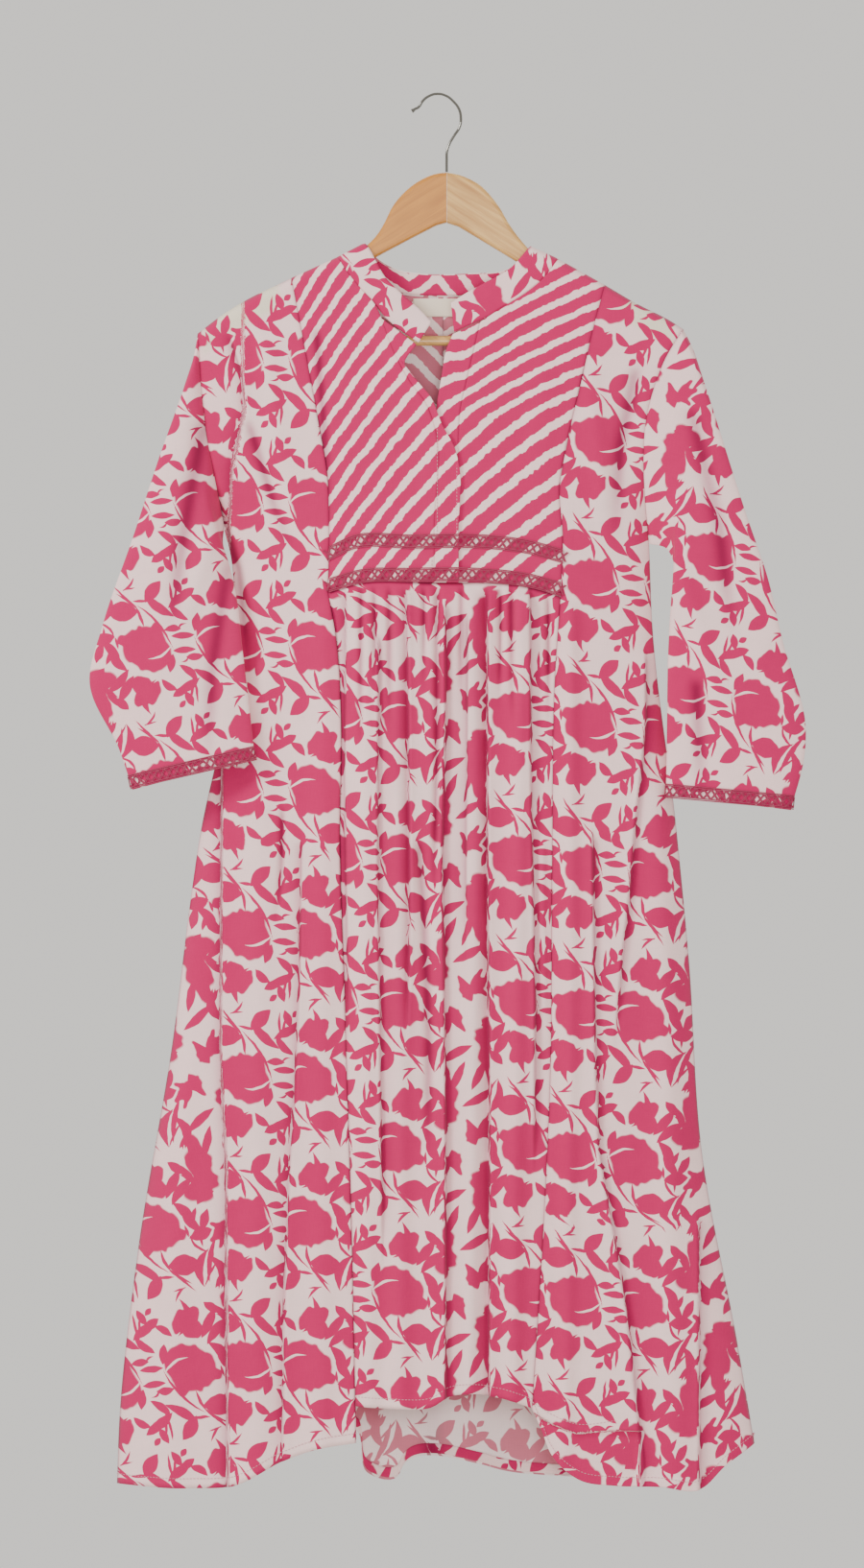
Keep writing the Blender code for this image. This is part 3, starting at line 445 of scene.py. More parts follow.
# Half of the repeat; the other half is the same turned half round. Leaves, stems and tendrils go from one tip
# to the other: x, y, x, y, width, and how far the middle bows to the left.
LEAVES = [
    (-70, 42, -39, 37, 19.7, 0.0), (-59, 66, -39, 41, 2.4, -0.9), (-40, 44, -11, -5, 2.8, 4.7),
    (-58, 58, -38, 38, 2.4, 0.9), (-41, 43, -36, 21, 3.2, 0.9), (-43, 48, -27, 45, 3.2, 0.0),
    (-31, 44, -13, 63, 13.2, 0.9), (-31, 52, -5, 27, 9.4, -1.9), (-32, -31, -42, -65, 8.9, -10.3),
    (-38, -62, -51, -74, 2.6, 1.9), (-51, -73, -38, -72, 1.9, 0.0), (-75, 28, -76, 9, 3.0, 0.0),
    (-80, 15, -66, -15, 9.4, 3.8), (-88, -6, -78, 13, 8.5, 0.0), (-98, -20, -80, -12, 10.3, -2.8),
    (-95, -22, -90, -54, 5.6, 0.9), (-57, -17, -82, -37, 9.4, 1.9), (-83, -30, -72, -52, 7.5, 0.0),
    (-95, -25, -79, -36, 2.6, 0.0), (-82, -64, -78, -97, 9.4, -7.5), (-88, -75, -80, -64, 2.8, -1.9),
    (-17, 15, 0, 14, 7.5, 0.9), (-11, 8, 12, 6, 6.6, 0.0), (-3, 12, 6, 18, 2.3, 2.8),
    (12, 9, 18, 27, 8.5, 0.0), (0, 63, 6, 47, 7.5, 0.0), (7, 56, 14, 62, 5.6, 0.0),
    (2, 43, 19, 51, 8.5, 0.0), (-10, 36, 15, 46, 9.4, 1.9), (13, 45, 27, 32, 7.5, 1.9),
    (-8, 39, 8, 21, 7.5, -1.9), (-4, 61, -4, 37, 2.8, -0.9), (-3, 72, 6, 104, 2.8, 0.0),
    (87, -55, 118, -38, 8.5, 0.9), (77, -67, 93, -52, 6.2, 0.0), (81, -30, 68, -64, 8.9, -8.0),
    (68, -64, 85, -43, 2.5, 0.9), (73, -61, 90, -21, 5.3, 2.7), (65, -17, 88, -14, 12.5, 0.0),
    (66, -13, 81, -33, 2.7, -4.5), (58, 19, 71, -7, 9.8, 3.6), (69, -7, 78, 10, 5.3, 0.0),
    (79, -5, 87, 4, 6.2, 0.0), (64, -4, 65, -16, 2.7, 0.0), (53, 24, 72, 48, 9.8, 0.0),
    (63, 56, 75, 43, 8.9, 0.0), (71, 43, 86, 31, 2.3, 0.0), (96, 50, 110, 80, 8.0, 0.0),
]
PETAL_LINES = [(-37, -10, -11, 1, 2.4, -4.4)]
# Flowers: centre, then the outline's radius at even angles, counter-clockwise from the left.
FLOWERS = [
    ("Rose", (-37, 1), [23, 23, 23, 22, 20, 20, 21, 23, 22, 23, 26, 26, 27, 27, 28, 27, 25, 24, 22, 21, 21,
     22, 24, 26, 27, 21, 21, 21, 23, 21, 23, 23, 24, 29, 29, 23, 23]),
    ("Tulip", (-43, -41), [11, 13, 16, 18, 16, 13, 13, 15, 14, 13, 13, 14, 14, 14, 15, 10, 11, 13, 14, 16,
     18, 17, 16, 13, 11]),
    ("Iris", (88, 38), [6, 6, 7, 8, 24, 25, 25, 24, 25, 26, 26, 25, 19, 20, 21, 19, 19, 16, 14, 14, 16, 18,
     21, 22, 24, 27, 36, 39, 24, 23, 18, 14, 10, 8, 7, 6, 6]),
    ("Maple", (100, -15), [11, 12, 15, 19, 15, 13, 20, 14, 11, 8, 6, 5, 4, 4, 17, 15, 13, 12, 12, 13, 13,
     13, 14, 13, 13, 13, 13, 7, 7, 7, 7, 8, 10, 15, 13, 10, 11]),
]
# Stripes: pitch up the cloth; how steep they are; how soon they flatten; the height above which they crowd
STRIPE_PITCH, STRIPE_RISE, STRIPE_BEND, STRIPE_CROWD = 25.4, 267.8, 260.0, -295.0


def srgb(code):
    """A #RRGGBB colour as the linear RGBA that a shader socket takes."""
    parts = [int(code[i:i + 2], 16) / 255 for i in (1, 3, 5)]
    return tuple(c / 12.92 if c <= 0.04045 else ((c + 0.055) / 1.055) ** 2.4 for c in parts) + (1.0,)


def add(tree, kind, inputs=(), out=0, **settings):
    """Adds a node, sets it, fills its sockets with values or links, and gives back one of its outputs."""
    node = tree.nodes.new(kind)
    for key, value in settings.items():
        setattr(node, key, value)
    for key, value in inputs.items() if isinstance(inputs, dict) else enumerate(inputs):
        if isinstance(value, bpy.types.NodeSocket):
            tree.links.new(value, node.inputs[key])
        elif value is not None:
            node.inputs[key].default_value = value
    return node if out is None else node.outputs[out]


def group(kind, name, inputs, outputs):
    """A new node group with its named sockets, its input node and its output node."""
    tree = bpy.data.node_groups.new(name, kind)
    for label, socket, default in inputs:
        made = tree.interface.new_socket(label, in_out="INPUT", socket_type=socket)
        if default is not None:
            made.default_value = default
    for label, socket in outputs:
        tree.interface.new_socket(label, in_out="OUTPUT", socket_type=socket)
    return tree, tree.nodes.new("NodeGroupInput"), tree.nodes.new("NodeGroupOutput")


def maths(tree, operation, *values):
    return add(tree, "ShaderNodeMath", values, operation=operation)


def across(tree, point, centre, turn, size):
    """One coordinate of a shape's own frame: how far the point's nearest repeat lies along a direction."""
    along = (math.cos(turn) / size, math.sin(turn) / size)
    start = -(centre[0] * along[0] + centre[1] * along[1])
    return add(tree, "ShaderNodeVectorMath", (point, (*along, start)), out=1, operation="DOT_PRODUCT")


def nearest(tree, point, centre):
    """The point moved into the repeat round a centre. Its Z stays 1, so a dot product can hold an offset."""
    (wide, tall), (x, y) = REPEAT, centre
    corners = ((x + wide / 2, y + tall / 2, 2), (x - wide / 2, y - tall / 2, 0))
    return add(tree, "ShaderNodeVectorMath", (point, *corners), operation="WRAP")


def leaf(tree, point, x1, y1, x2, y2, width, bow):
    """Below 1 inside a leaf between two tips."""
    centre, turn = ((x1 + x2) / 2, (y1 + y2) / 2), math.atan2(y2 - y1, x2 - x1)
    near = nearest(tree, point, centre)
    centre = (centre[0] - math.sin(turn) * bow, centre[1] + math.cos(turn) * bow)
    along = across(tree, near, centre, turn, math.hypot(x2 - x1, y2 - y1) / 2)
    aside = across(tree, near, centre, turn + math.pi / 2, width / 2)
    square = maths(tree, "MULTIPLY", along, along)
    off_spine = maths(tree, "ABSOLUTE", maths(tree, "MULTIPLY_ADD", square, bow * 2 / width, aside))
    return maths(tree, "ADD", square, off_spine)


def flower(tree, point, name, centre, outline):
    """Below 1 inside a flower whose outline is a radius for each angle."""
    widest = max(outline)
    near = nearest(tree, point, centre)
    along = across(tree, near, centre, 0, widest)
    up = across(tree, near, centre, math.pi / 2, widest)
    share = maths(tree, "MULTIPLY_ADD", maths(tree, "ARCTAN2", up, along), 0.5 / math.pi, 0.5)
    curve = add(tree, "ShaderNodeFloatCurve", (1.0, share), out=None, label=name)
    line = curve.mapping.curves[0]
    for k, radius in enumerate(outline):
        at = (k / (len(outline) - 1), radius / widest)
        if k == 0:
            line.points[0].location = at
        elif k == len(outline) - 1:
            line.points[len(line.points) - 1].location = at
        else:
            line.points.new(*at)
    curve.mapping.update()
    square = maths(tree, "MULTIPLY_ADD", up, up, maths(tree, "MULTIPLY", along, along))
    return maths(tree, "SUBTRACT", maths(tree, "ADD", maths(tree, "SQRT", square), 1.0), curve.outputs[0])


def half_repeat():
    tree, start, end = group("ShaderNodeTree", "Half repeat", [("Point", "NodeSocketVector", None)],
                             [("Inside below 1", "NodeSocketFloat")])
    point = start.outputs[0]
    found = None
    for each in LEAVES:
        value = leaf(tree, point, *each)
        found = value if found is None else maths(tree, "MINIMUM", found, value)
    for name, centre, outline in FLOWERS:
        found = maths(tree, "MINIMUM", found, flower(tree, point, name, centre, outline))
    for each in PETAL_LINES:
        found = maths(tree, "MAXIMUM", found, maths(tree, "SUBTRACT", 2.0, leaf(tree, point, *each)))
    tree.links.new(found, end.inputs[0])
    return tree


def block_print():
    """Ink from 0 to 1 at a point in mm: two half repeats, with edges as uneven as a hand-cut block's."""
    tree, start, end = group("ShaderNodeTree", "Block print", [("Point", "NodeSocketVector", None)],
                             [("Ink", "NodeSocketFloat")])
    rough = add(tree, "ShaderNodeTexNoise", {"Vector": start.outputs[0], "Scale": 1 / 9, "Detail": 1.0},
                out=1)
    shift = add(tree, "ShaderNodeVectorMath", (rough, (0.5, 0.5, 0.5)), operation="SUBTRACT")
    shift = add(tree, "ShaderNodeVectorMath", {0: shift, 3: 1.9}, operation="SCALE")
    point = add(tree, "ShaderNodeVectorMath", (start.outputs[0], shift), operation="ADD")
    turned = add(tree, "ShaderNodeVectorMath", (point, (-1, -1, 0), (0, 0, 1)), operation="MULTIPLY_ADD")
    point = add(tree, "ShaderNodeVectorMath", (point, (1, 1, 0), (0, 0, 1)), operation="MULTIPLY_ADD")
    half = half_repeat()
    both = [add(tree, "ShaderNodeGroup", (), out=None, node_tree=half) for _ in (0, 1)]
    for node, at in zip(both, (point, turned)):
        tree.links.new(at, node.inputs[0])
    value = maths(tree, "MINIMUM", both[0].outputs[0], both[1].outputs[0])
    ink = add(tree, "ShaderNodeMapRange", (value, 1.03, 0.97, 0.0, 1.0))
    tree.links.new(ink, end.inputs[0])
    return tree


def stripe_print():
    """Ink from 0 to 1 for hand-drawn stripes that rise to the right, steep at first and then flatter."""
    tree, start, end = group("ShaderNodeTree", "Drawn stripes", [("Point", "NodeSocketVector", None)],
                             [("Ink", "NodeSocketFloat")])
    point = start.outputs[0]
    waver = add(tree, "ShaderNodeTexNoise", {"Vector": point, "Scale": 1 / 22, "Detail": 1.0})
    rough = add(tree, "ShaderNodeTexNoise", {"Vector": point, "Scale": 1 / 5, "Detail": 2.0})
    aside = add(tree, "ShaderNodeVectorMath", (point, (-1 / STRIPE_BEND, 0, 0)), out=1,
                operation="DOT_PRODUCT")
    up = add(tree, "ShaderNodeVectorMath", (point, (0, 1, 0)), out=1, operation="DOT_PRODUCT")
    level = maths(tree, "MULTIPLY_ADD", maths(tree, "EXPONENT", aside), STRIPE_RISE, up)
    level = maths(tree, "MULTIPLY_ADD", waver, 6.0, level)
    crowded = maths(tree, "MAXIMUM", maths(tree, "SUBTRACT", up, STRIPE_CROWD), 0.0)
    right = add(tree, "ShaderNodeMapRange", (aside, 0.0, -0.1, 0.0, 0.4))
    level = maths(tree, "MULTIPLY_ADD", crowded, right, level)
    share = maths(tree, "FRACT", maths(tree, "DIVIDE", level, STRIPE_PITCH))
    off_middle = maths(tree, "ABSOLUTE", maths(tree, "SUBTRACT", share, 0.5))
    edge = maths(tree, "MULTIPLY_ADD", maths(tree, "SUBTRACT", rough, 0.5), 0.22, off_middle)
    ink = add(tree, "ShaderNodeMapRange", (edge, 0.322, 0.300, 0.0, 1.0))
    tree.links.new(ink, end.inputs[0])
    return tree


def blend(tree, factor, a, b, kind="MIX"):
    made = add(tree, "ShaderNodeMix", {0: factor}, out=None, data_type="RGBA", blend_type=kind)
    for socket, value in ((made.inputs[6], a), (made.inputs[7], b)):
        if isinstance(value, bpy.types.NodeSocket):
            tree.links.new(value, socket)
        else:
            socket.default_value = value
    return made.outputs[2]


def new_material(name):
    made = bpy.data.materials.new(name)
    made.use_nodes = True
    return made, made.node_tree, made.node_tree.nodes["Principled BSDF"]


def printed_cotton(name, print_tree, ink, ground, wrong_side=False):
    """Plain-woven cotton voile, block printed. The matt dye soaks in, so its wrong side shows it paler, and
    the wrong side is lightened further as painted light; slubs give fine streaks both ways; folds and seams
    get painted shade, a deeper colour; wood shows through as cream."""
    made, tree, shader = new_material(name)
    cut = add(tree, "ShaderNodeUVMap", uv_map="Cut")
    point = add(tree, "ShaderNodeVectorMath", {0: cut, 3: 1000.0}, operation="SCALE")
    inked = add(tree, "ShaderNodeGroup", (), out=None, node_tree=print_tree)
    tree.links.new(point, inked.inputs[0])
    # Slubs: thick threads 0.7 mm across and 14 mm long, along the cloth and across it
    along = add(tree, "ShaderNodeMapping", (point, (0, 0, 0), (0, 0, 0), (1 / 0.7, 1 / 14, 1)))
    across = add(tree, "ShaderNodeMapping", (point, (40, 0, 0), (0, 0, 0), (1 / 14, 1 / 0.7, 1)))
    slubs = [add(tree, "ShaderNodeTexNoise", {"Vector": at, "Scale": 1.0, "Detail": 2.0})
             for at in (along, across)]
    thread = maths(tree, "ADD", *slubs)
    patchy = add(tree, "ShaderNodeTexNoise", {"Vector": point, "Scale": 1 / 16, "Detail": 3.0})
    tone = maths(tree, "MULTIPLY_ADD", patchy, 0.10, maths(tree, "MULTIPLY_ADD", thread, 0.10, 0.85))
    fold_shade = add(tree, "ShaderNodeAttribute", out=2, attribute_name="Fold shade")
    wood = add(tree, "ShaderNodeAttribute", out=2, attribute_name="Wood")
    # Painted shade: where the fold shade attribute is high, the ink turns to #8A0A3E and the ground to
    # #C98C9A
    pink = blend(tree, maths(tree, "MULTIPLY", fold_shade, 1.0), srgb(ink), srgb("#8A0A3E"))
    white = blend(tree, maths(tree, "MULTIPLY", fold_shade, 0.9), srgb(ground), srgb("#C98C9A"))
    white = blend(tree, wood, white, srgb("#E6DCC2"))
    dye = inked.outputs[0]
    # The wrong side is paler from real dye bleed-through, and its ground and ink are lightened further as
    # painted light so the shaded insides read bright
    if wrong_side:
        pink = blend(tree, 0.22, pink, srgb("#FFE6E4"))
        white = blend(tree, 0.7, white, srgb("#FFF0EE"))
    colour = blend(tree, dye, white, pink)
    colour = blend(tree, 1.0, colour, tone, "MULTIPLY")
    tree.links.new(colour, shader.inputs["Base Color"])
    shader.inputs["Roughness"].default_value = 0.9
    shader.inputs["Sheen Weight"].default_value = 0.12
    shader.inputs["Sheen Roughness"].default_value = 0.5
    shader.inputs["Specular IOR Level"].default_value = 0.25
    bump = add(tree, "ShaderNodeBump", {"Strength": 0.25, "Distance": 0.0003, "Height": thread})
    tree.links.new(bump, shader.inputs["Normal"])
    return made


def thread_material(name, colour, shadow, roughness=0.6):
    """Mercerised cotton thread: a soft gloss, with painted shade on one side of each turn of its twist."""
    made, tree, shader = new_material(name)
    place = add(tree, "ShaderNodeTexCoord", out=3)
    twist = add(tree, "ShaderNodeTexWave", {"Vector": place, "Scale": 320.0, "Distortion": 3.0},
                bands_direction="DIAGONAL")
    uneven = add(tree, "ShaderNodeTexNoise", {"Vector": place, "Scale": 160.0, "Detail": 2.0})
    # Painted shade from the twist, mixed with random unevenness of the thread's tone
    mixed = blend(tree, maths(tree, "MULTIPLY_ADD", uneven, 0.5, maths(tree, "MULTIPLY", twist, 0.35)),
                  srgb(shadow), srgb(colour))
    tree.links.new(mixed, shader.inputs["Base Color"])
    shader.inputs["Roughness"].default_value = roughness
    bump = add(tree, "ShaderNodeBump", {"Strength": 0.4, "Distance": 0.0002, "Height": twist})
    tree.links.new(bump, shader.inputs["Normal"])
    return made


def label_material():
    """Woven satin tape: smooth, cream, with fine ribs across it."""
    made, tree, shader = new_material("Woven satin tape")
    place = add(tree, "ShaderNodeTexCoord", out=3)
    ribs = add(tree, "ShaderNodeTexWave", {"Vector": place, "Scale": 500.0, "Distortion": 0.5},
               bands_direction="Z")
    tree.links.new(blend(tree, maths(tree, "MULTIPLY", ribs, 0.3), srgb("#F6E8D2"), srgb("#E0CDB0")),
                   shader.inputs["Base Color"])
    shader.inputs["Roughness"].default_value = 0.5
    bump = add(tree, "ShaderNodeBump", {"Strength": 0.3, "Distance": 0.0001, "Height": ribs})
    tree.links.new(bump, shader.inputs["Normal"])
    return made


def lacquered_wood(name, light, dark, slope, streak):
    """Beech or pine under clear lacquer: grain lines 2 to 4 mm apart along the arm, and a soft coat gloss."""
    made, tree, shader = new_material(name)
    place = add(tree, "ShaderNodeTexCoord", out=3)
    turned = add(tree, "ShaderNodeMapping", (place, (0, 0, 0), (0, math.radians(slope), 0), (1.0, 1.0, 1.0)))
    grain_at = add(tree, "ShaderNodeMapping", (turned, (0, 0, 0), (0, 0, 0), (18.0, 160.0, 260.0)))
    lines = add(tree, "ShaderNodeTexNoise", {"Vector": grain_at, "Scale": 1.0, "Detail": 5.0,
                                             "Distortion": 0.6})
    fine_at = add(tree, "ShaderNodeMapping", (turned, (0, 0, 0), (0, 0, 0), (60.0, 900.0, 1100.0)))
    fine = add(tree, "ShaderNodeTexNoise", {"Vector": fine_at, "Scale": 1.0, "Detail": 3.0})
    sharp = add(tree, "ShaderNodeMapRange", (lines, 0.38, 0.68, 0.0, 1.0))
    broad_at = add(tree, "ShaderNodeMapping", (turned, (0.31, 0, 0), (0, 0, 0), (7.0, 60.0, 70.0)))
    broad = add(tree, "ShaderNodeTexNoise", {"Vector": broad_at, "Scale": 1.0, "Detail": 2.0,
                                             "Distortion": 0.9})
    heart = add(tree, "ShaderNodeMapRange", (broad, 0.52, 0.70, 0.0, 1.0))
    amount = maths(tree, "MULTIPLY_ADD", fine, 0.22, maths(tree, "MULTIPLY", sharp, streak * 0.7))
    amount = maths(tree, "MAXIMUM", amount, maths(tree, "MULTIPLY", heart, streak))
    tree.links.new(blend(tree, amount, srgb(light), srgb(dark)), shader.inputs["Base Color"])
    shader.inputs["Roughness"].default_value = 0.42
    shader.inputs["Coat Weight"].default_value = 0.35
    shader.inputs["Coat Roughness"].default_value = 0.18
    bump = add(tree, "ShaderNodeBump", {"Strength": 0.15, "Distance": 0.0003, "Height": fine})
    tree.links.new(bump, shader.inputs["Normal"])
    return made


def chrome():
    """Bright chrome-plated wire: a dark mirror, a little dulled in patches where hands and rails rub it."""
    made, tree, shader = new_material("Chrome-plated wire")
    place = add(tree, "ShaderNodeTexCoord", out=3)
    rubbed = add(tree, "ShaderNodeTexNoise", {"Vector": place, "Scale": 60.0, "Detail": 2.0})
    rough = add(tree, "ShaderNodeMapRange", (rubbed, 0.3, 0.7, 0.08, 0.20))
    tree.links.new(rough, shader.inputs["Roughness"])
    shader.inputs["Base Color"].default_value = srgb("#77756F")
    shader.inputs["Metallic"].default_value = 1.0
    return made


FINISHES = {}


PRINTS = {"flower": ("Block-printed cotton", block_print), "stripe": ("Stripe-printed cotton", stripe_print)}


def finish_of(name):
    """The material of that name, made the first time it is asked for."""
    colours = bpy.context.scene.kurta_colours
    if name not in FINISHES:
        kind, wrong = name.removesuffix("_wrong"), name.endswith("_wrong")
        if kind in PRINTS:
            label, make_print = PRINTS[kind]
            if kind + "_print" not in FINISHES:
                FINISHES[kind + "_print"] = make_print()
            FINISHES[name] = printed_cotton(
                label + (", wrong side" if wrong else ""), FINISHES[kind + "_print"], hex_of(colours.ink),
                hex_of(colours.ground), wrong)
        elif name == "lace":
            FINISHES[name] = thread_material("Crochet cotton", hex_of(colours.lace), "#8C1E42")
        elif name == "thread":
            FINISHES[name] = thread_material("Sewing thread", "#E3B4BD", "#C07F8E")
    return FINISHES[name]


def hex_of(colour):
    """A colour property, which holds linear values, as #RRGGBB."""
    parts = [12.92 * c if c <= 0.0031308 else 1.055 * c ** (1 / 2.4) - 0.055 for c in colour]
    return "#" + "".join("%02X" % max(0, min(255, round(255 * c))) for c in parts)


# ---------------------------------------------------------------- pieces of cloth

FLOWER, STRIPE = ("flower", "flower_wrong"), ("stripe", "stripe_wrong")
SHOULDER_ROWS = np.array([0, 0.5, 1.0, 1.6, 2.4, 3.4, 4.8, 6.5, 9.0, 12.0])


def shoulder_spread(length, step=4.5):
    """Shares down a piece that starts on the ridge of the shoulder: close there, then even."""
    rest = np.linspace(12.0, length, max(int((length - 12) / step), 2) + 1)[1:]
    return np.concatenate([SHOULDER_ROWS, rest]) / length


def cloth_thickness():
    return bpy.context.scene.kurta_sizes.cloth / MM


def pair(names):
    return [finish_of(name) for name in names]


def hung_fabric(name, node, area, us, vs, folds, forward=0.0, seams="", cut=None, finish=FLOWER,
                belly=FRONT_BELLY, held="hung", thickness=None, wood=None, extra=None, facing=-1,
                slot="floral_cotton"):
    """A piece that hangs in front (facing -1) or behind (facing 1)."""
    x, z = area(us, vs)
    lift, tucked, fold_shade = fold_up(x, z, folds)
    out = depth(x, z, belly) + lift - seam_roll(x, z, seams)
    if extra is not None:
        out = out + extra(x, z)
    y = facing * out - forward
    cut_x, cut_z = cut(x, z, tucked) if cut else (x + tucked, z)
    # Painted shade: the cloth next to each named seam is coloured darker
    fold_shade = np.clip(fold_shade + 0.8 * (seam_roll(x, z, seams) / 0.9) ** 2, 0, 1)
    made = cloth(name, node, slot, pair(finish), (x, y, z), (cut_x, cut_z), fold_shade,
                 thickness or cloth_thickness(), facing, (held, HANGER_ARMS))
    if wood is not None:
        mesh = made[0].data
        points = np.empty(len(mesh.vertices) * 3)
        mesh.vertices.foreach_get("co", points)
        px, pz = points[0::3] / MM, points[2::3] / MM
        tint = mesh.attributes.new("Wood", "FLOAT", "POINT")
        tint.data.foreach_set("value", np.ascontiguousarray(wood(px, pz), np.float32))
    return made


def below_shoulders(x, z):
    return np.interp(x, SHOULDERS[:, 0], SHOULDERS[:, 1]) - z


def wood_left(x, z):
    """Where the arm of the hanger presses the left shoulder from inside."""
    drop = below_shoulders(x, z)
    return 0.9 * smooth(-x, 142, 152) * (1 - smooth(-x, 212, 222)) * (1 - smooth(drop, 20, 27))


def wood_right(x, z):
    drop = below_shoulders(x, z)
    return 0.9 * smooth(x, 164, 172) * (1 - smooth(x, 214, 224)) * (1 - smooth(drop, 18, 25))


def hem_turn(line):
    """A double-turned hem: the cloth is thicker up to its stitches."""
    edge = np.array(line, float).T

    def thicker(x, z):
        up = z - np.interp(x, *edge)
        return 0.7 * (1 - smooth(up, HEM_STITCH - 0.5, HEM_STITCH + 1.0))

    return thicker


def under_pleat(x, z):
    """1 where the right panel lies behind its own pleat, below the pleat's hem."""
    below = smooth(np.interp(x, *np.array(PLEAT_HEM, float).T) - z, -0.6, 0.6)
    return below * (1 - smooth(x, *PLEAT_END))


def pleat(x, z):
    """The right panel's two hems: the pleat's, and the one that lies behind it."""
    raised = 3.2 + 4.0 * np.exp(-np.maximum(188 - x, 0) / 16)
    own_hem = hem_turn(PLEAT_HEM)(x, z) * (1 - smooth(x, *PLEAT_END))
    behind = under_pleat(x, z)
    return hem_turn(HEM_RIGHT)(x, z) + own_hem * (1 - behind) - raised * behind


def left_stripes(x, z, tucked):
    """Where the left yoke and the placket were cut from the striped cloth."""
    return x + tucked, z + 8.0


def right_stripes(x, z, tucked):
    """Where the right yoke and the placket's facing were cut from it."""
    return x + tucked, z + 1.5


def make_yokes():
    made = []
    area = patch(Line(SHOULDER_LEFT[4:6]), Line(YOKE_HEM[:3]), Line(PRINCESS_LEFT),
                 Joined(Line(NECK_LEFT), Line(PLACKET_LEFT)))
    overlap = by_height(PLACKET_LEFT)

    def step(x, z):
        return (PLACKET_LAP - 0.3) * smooth(np.interp(z, *overlap) - x, 20, 0)

    made.append(hung_fabric("yoke_cloth_left", "yoke_front_left", area, spread(90, 2.0),
                            shoulder_spread(300, 3.0),
                            [([(-112, -215), (-104, -320), (-98, -400)], "groove", 5, 1.2, 0)], seams="lb",
                            finish=STRIPE, extra=step, slot="striped_cotton", cut=left_stripes))
    area = patch(Line(SHOULDER_RIGHT[1:3]), Line(YOKE_HEM[3:]), Joined(Line(NECK_RIGHT), Line(UNDER_RIGHT)),
                 Line(PRINCESS_RIGHT))
    made.append(hung_fabric("yoke_cloth_right", "yoke_front_right", area, spread(100, 2.0),
                            shoulder_spread(300, 3.0),
                            [([(96, -240), (98, -330), (96, -420)], "ridge", 14, 1.4, 0)],
                            seams="rb", finish=STRIPE, slot="striped_cotton", cut=right_stripes))
    over = patch(Line(PLACKET_TOP), Line([(-2, -454), (20, -454)]), Line(PLACKET_LEFT), Line(PLACKET_RIGHT))
    free_edge = by_height(PLACKET_RIGHT)

    def lip(x, z):
        """The free edge of the placket stands a little away above the point where it is stitched down."""
        loose = smooth(z, -352, -325)
        inside = np.maximum(np.interp(z, *free_edge) - x, 0)
        return (0.7 + 1.5 * loose) * np.exp(-inside / (1.2 + 2.4 * loose))

    made.append(hung_fabric("placket_over_cloth", "placket_over", over, spread(22, 0.9), spread(250, 2.0),
                            [], forward=PLACKET_LAP, finish=STRIPE, extra=lip, slot="striped_cotton",
                            cut=left_stripes))
    under = patch(Line(UNDER_TOP), Line([(-1, -454), (20, -454)]), Line(UNDER_LEFT), Line(UNDER_RIGHT))
    made.append(hung_fabric("placket_under_cloth", "placket_under", under, spread(22, 2.0), spread(240, 3.0),
                            [], forward=0.2, finish=STRIPE, slot="striped_cotton", cut=right_stripes))
    return made


def make_front():
    made = []
    left = patch(
        Line(SHOULDER_LEFT[:5]), Line(HEM_LEFT), Joined(Line(ARMHOLE_LEFT), Line(SIDE_LEFT)),
        Joined(Line(PRINCESS_LEFT), Line(CENTRE_LEFT + [HEM_LEFT[-1]])))
    print_break = by_height(PRINT_BREAK)

    def left_cut(x, z, tucked):
        inner = grain(x + tucked, z, (-149, -1046), 0)
        outer = grain(x, z, (-296.5, -1062), 14.5)
        past = smooth(x - np.interp(z, *print_break), -1.5, 1.5)
        return tuple(a * past + b * (1 - past) for a, b in zip(inner, outer))

    made.append(hung_fabric("front_cloth_left", "front_side_left", left, spread(190, 1.9),
                            shoulder_spread(1076, 5.0), LEFT_FOLDS, seams="lrt", cut=left_cut,
                            wood=wood_left, extra=hem_turn(HEM_LEFT)))
    right = patch(Line(SHOULDER_RIGHT[2:]), Line(HEM_RIGHT), Joined(Line(PRINCESS_RIGHT), Line(CENTRE_RIGHT)),
                  Joined(Line(ARMHOLE_RIGHT), Line(SIDE_RIGHT)))

    def right_cut(x, z, tucked):
        behind = under_pleat(x, z)
        return grain(x + tucked + PLEAT_SHIFT[0] * behind, z + PLEAT_SHIFT[1] * behind, (160, -855), -3)

    rows = shoulder_spread(1076, 5.0)
    rows = np.concatenate([rows[rows < 0.9], np.linspace(0.9, 1, 100)])
    made.append(hung_fabric("front_cloth_right", "front_side_right", right, spread(190, 1.9), rows,
                            RIGHT_FOLDS, seams="lrt", cut=right_cut, wood=wood_right, extra=pleat))
    centre = patch(Line(YOKE_HEM), Line(HEM_CENTRE), Line(CENTRE_LEFT), Line(CENTRE_RIGHT))

    def centre_cut(x, z, tucked):
        return grain(x + tucked, z, (-88, -1110), 0)

    made.append(hung_fabric("front_cloth_centre", "front_centre", centre, spread(214, 1.5), spread(757, 4.0),
                            CENTRE_FOLDS, seams="lrt", cut=centre_cut, held="gathered",
                            extra=hem_turn(HEM_CENTRE)))
    return made


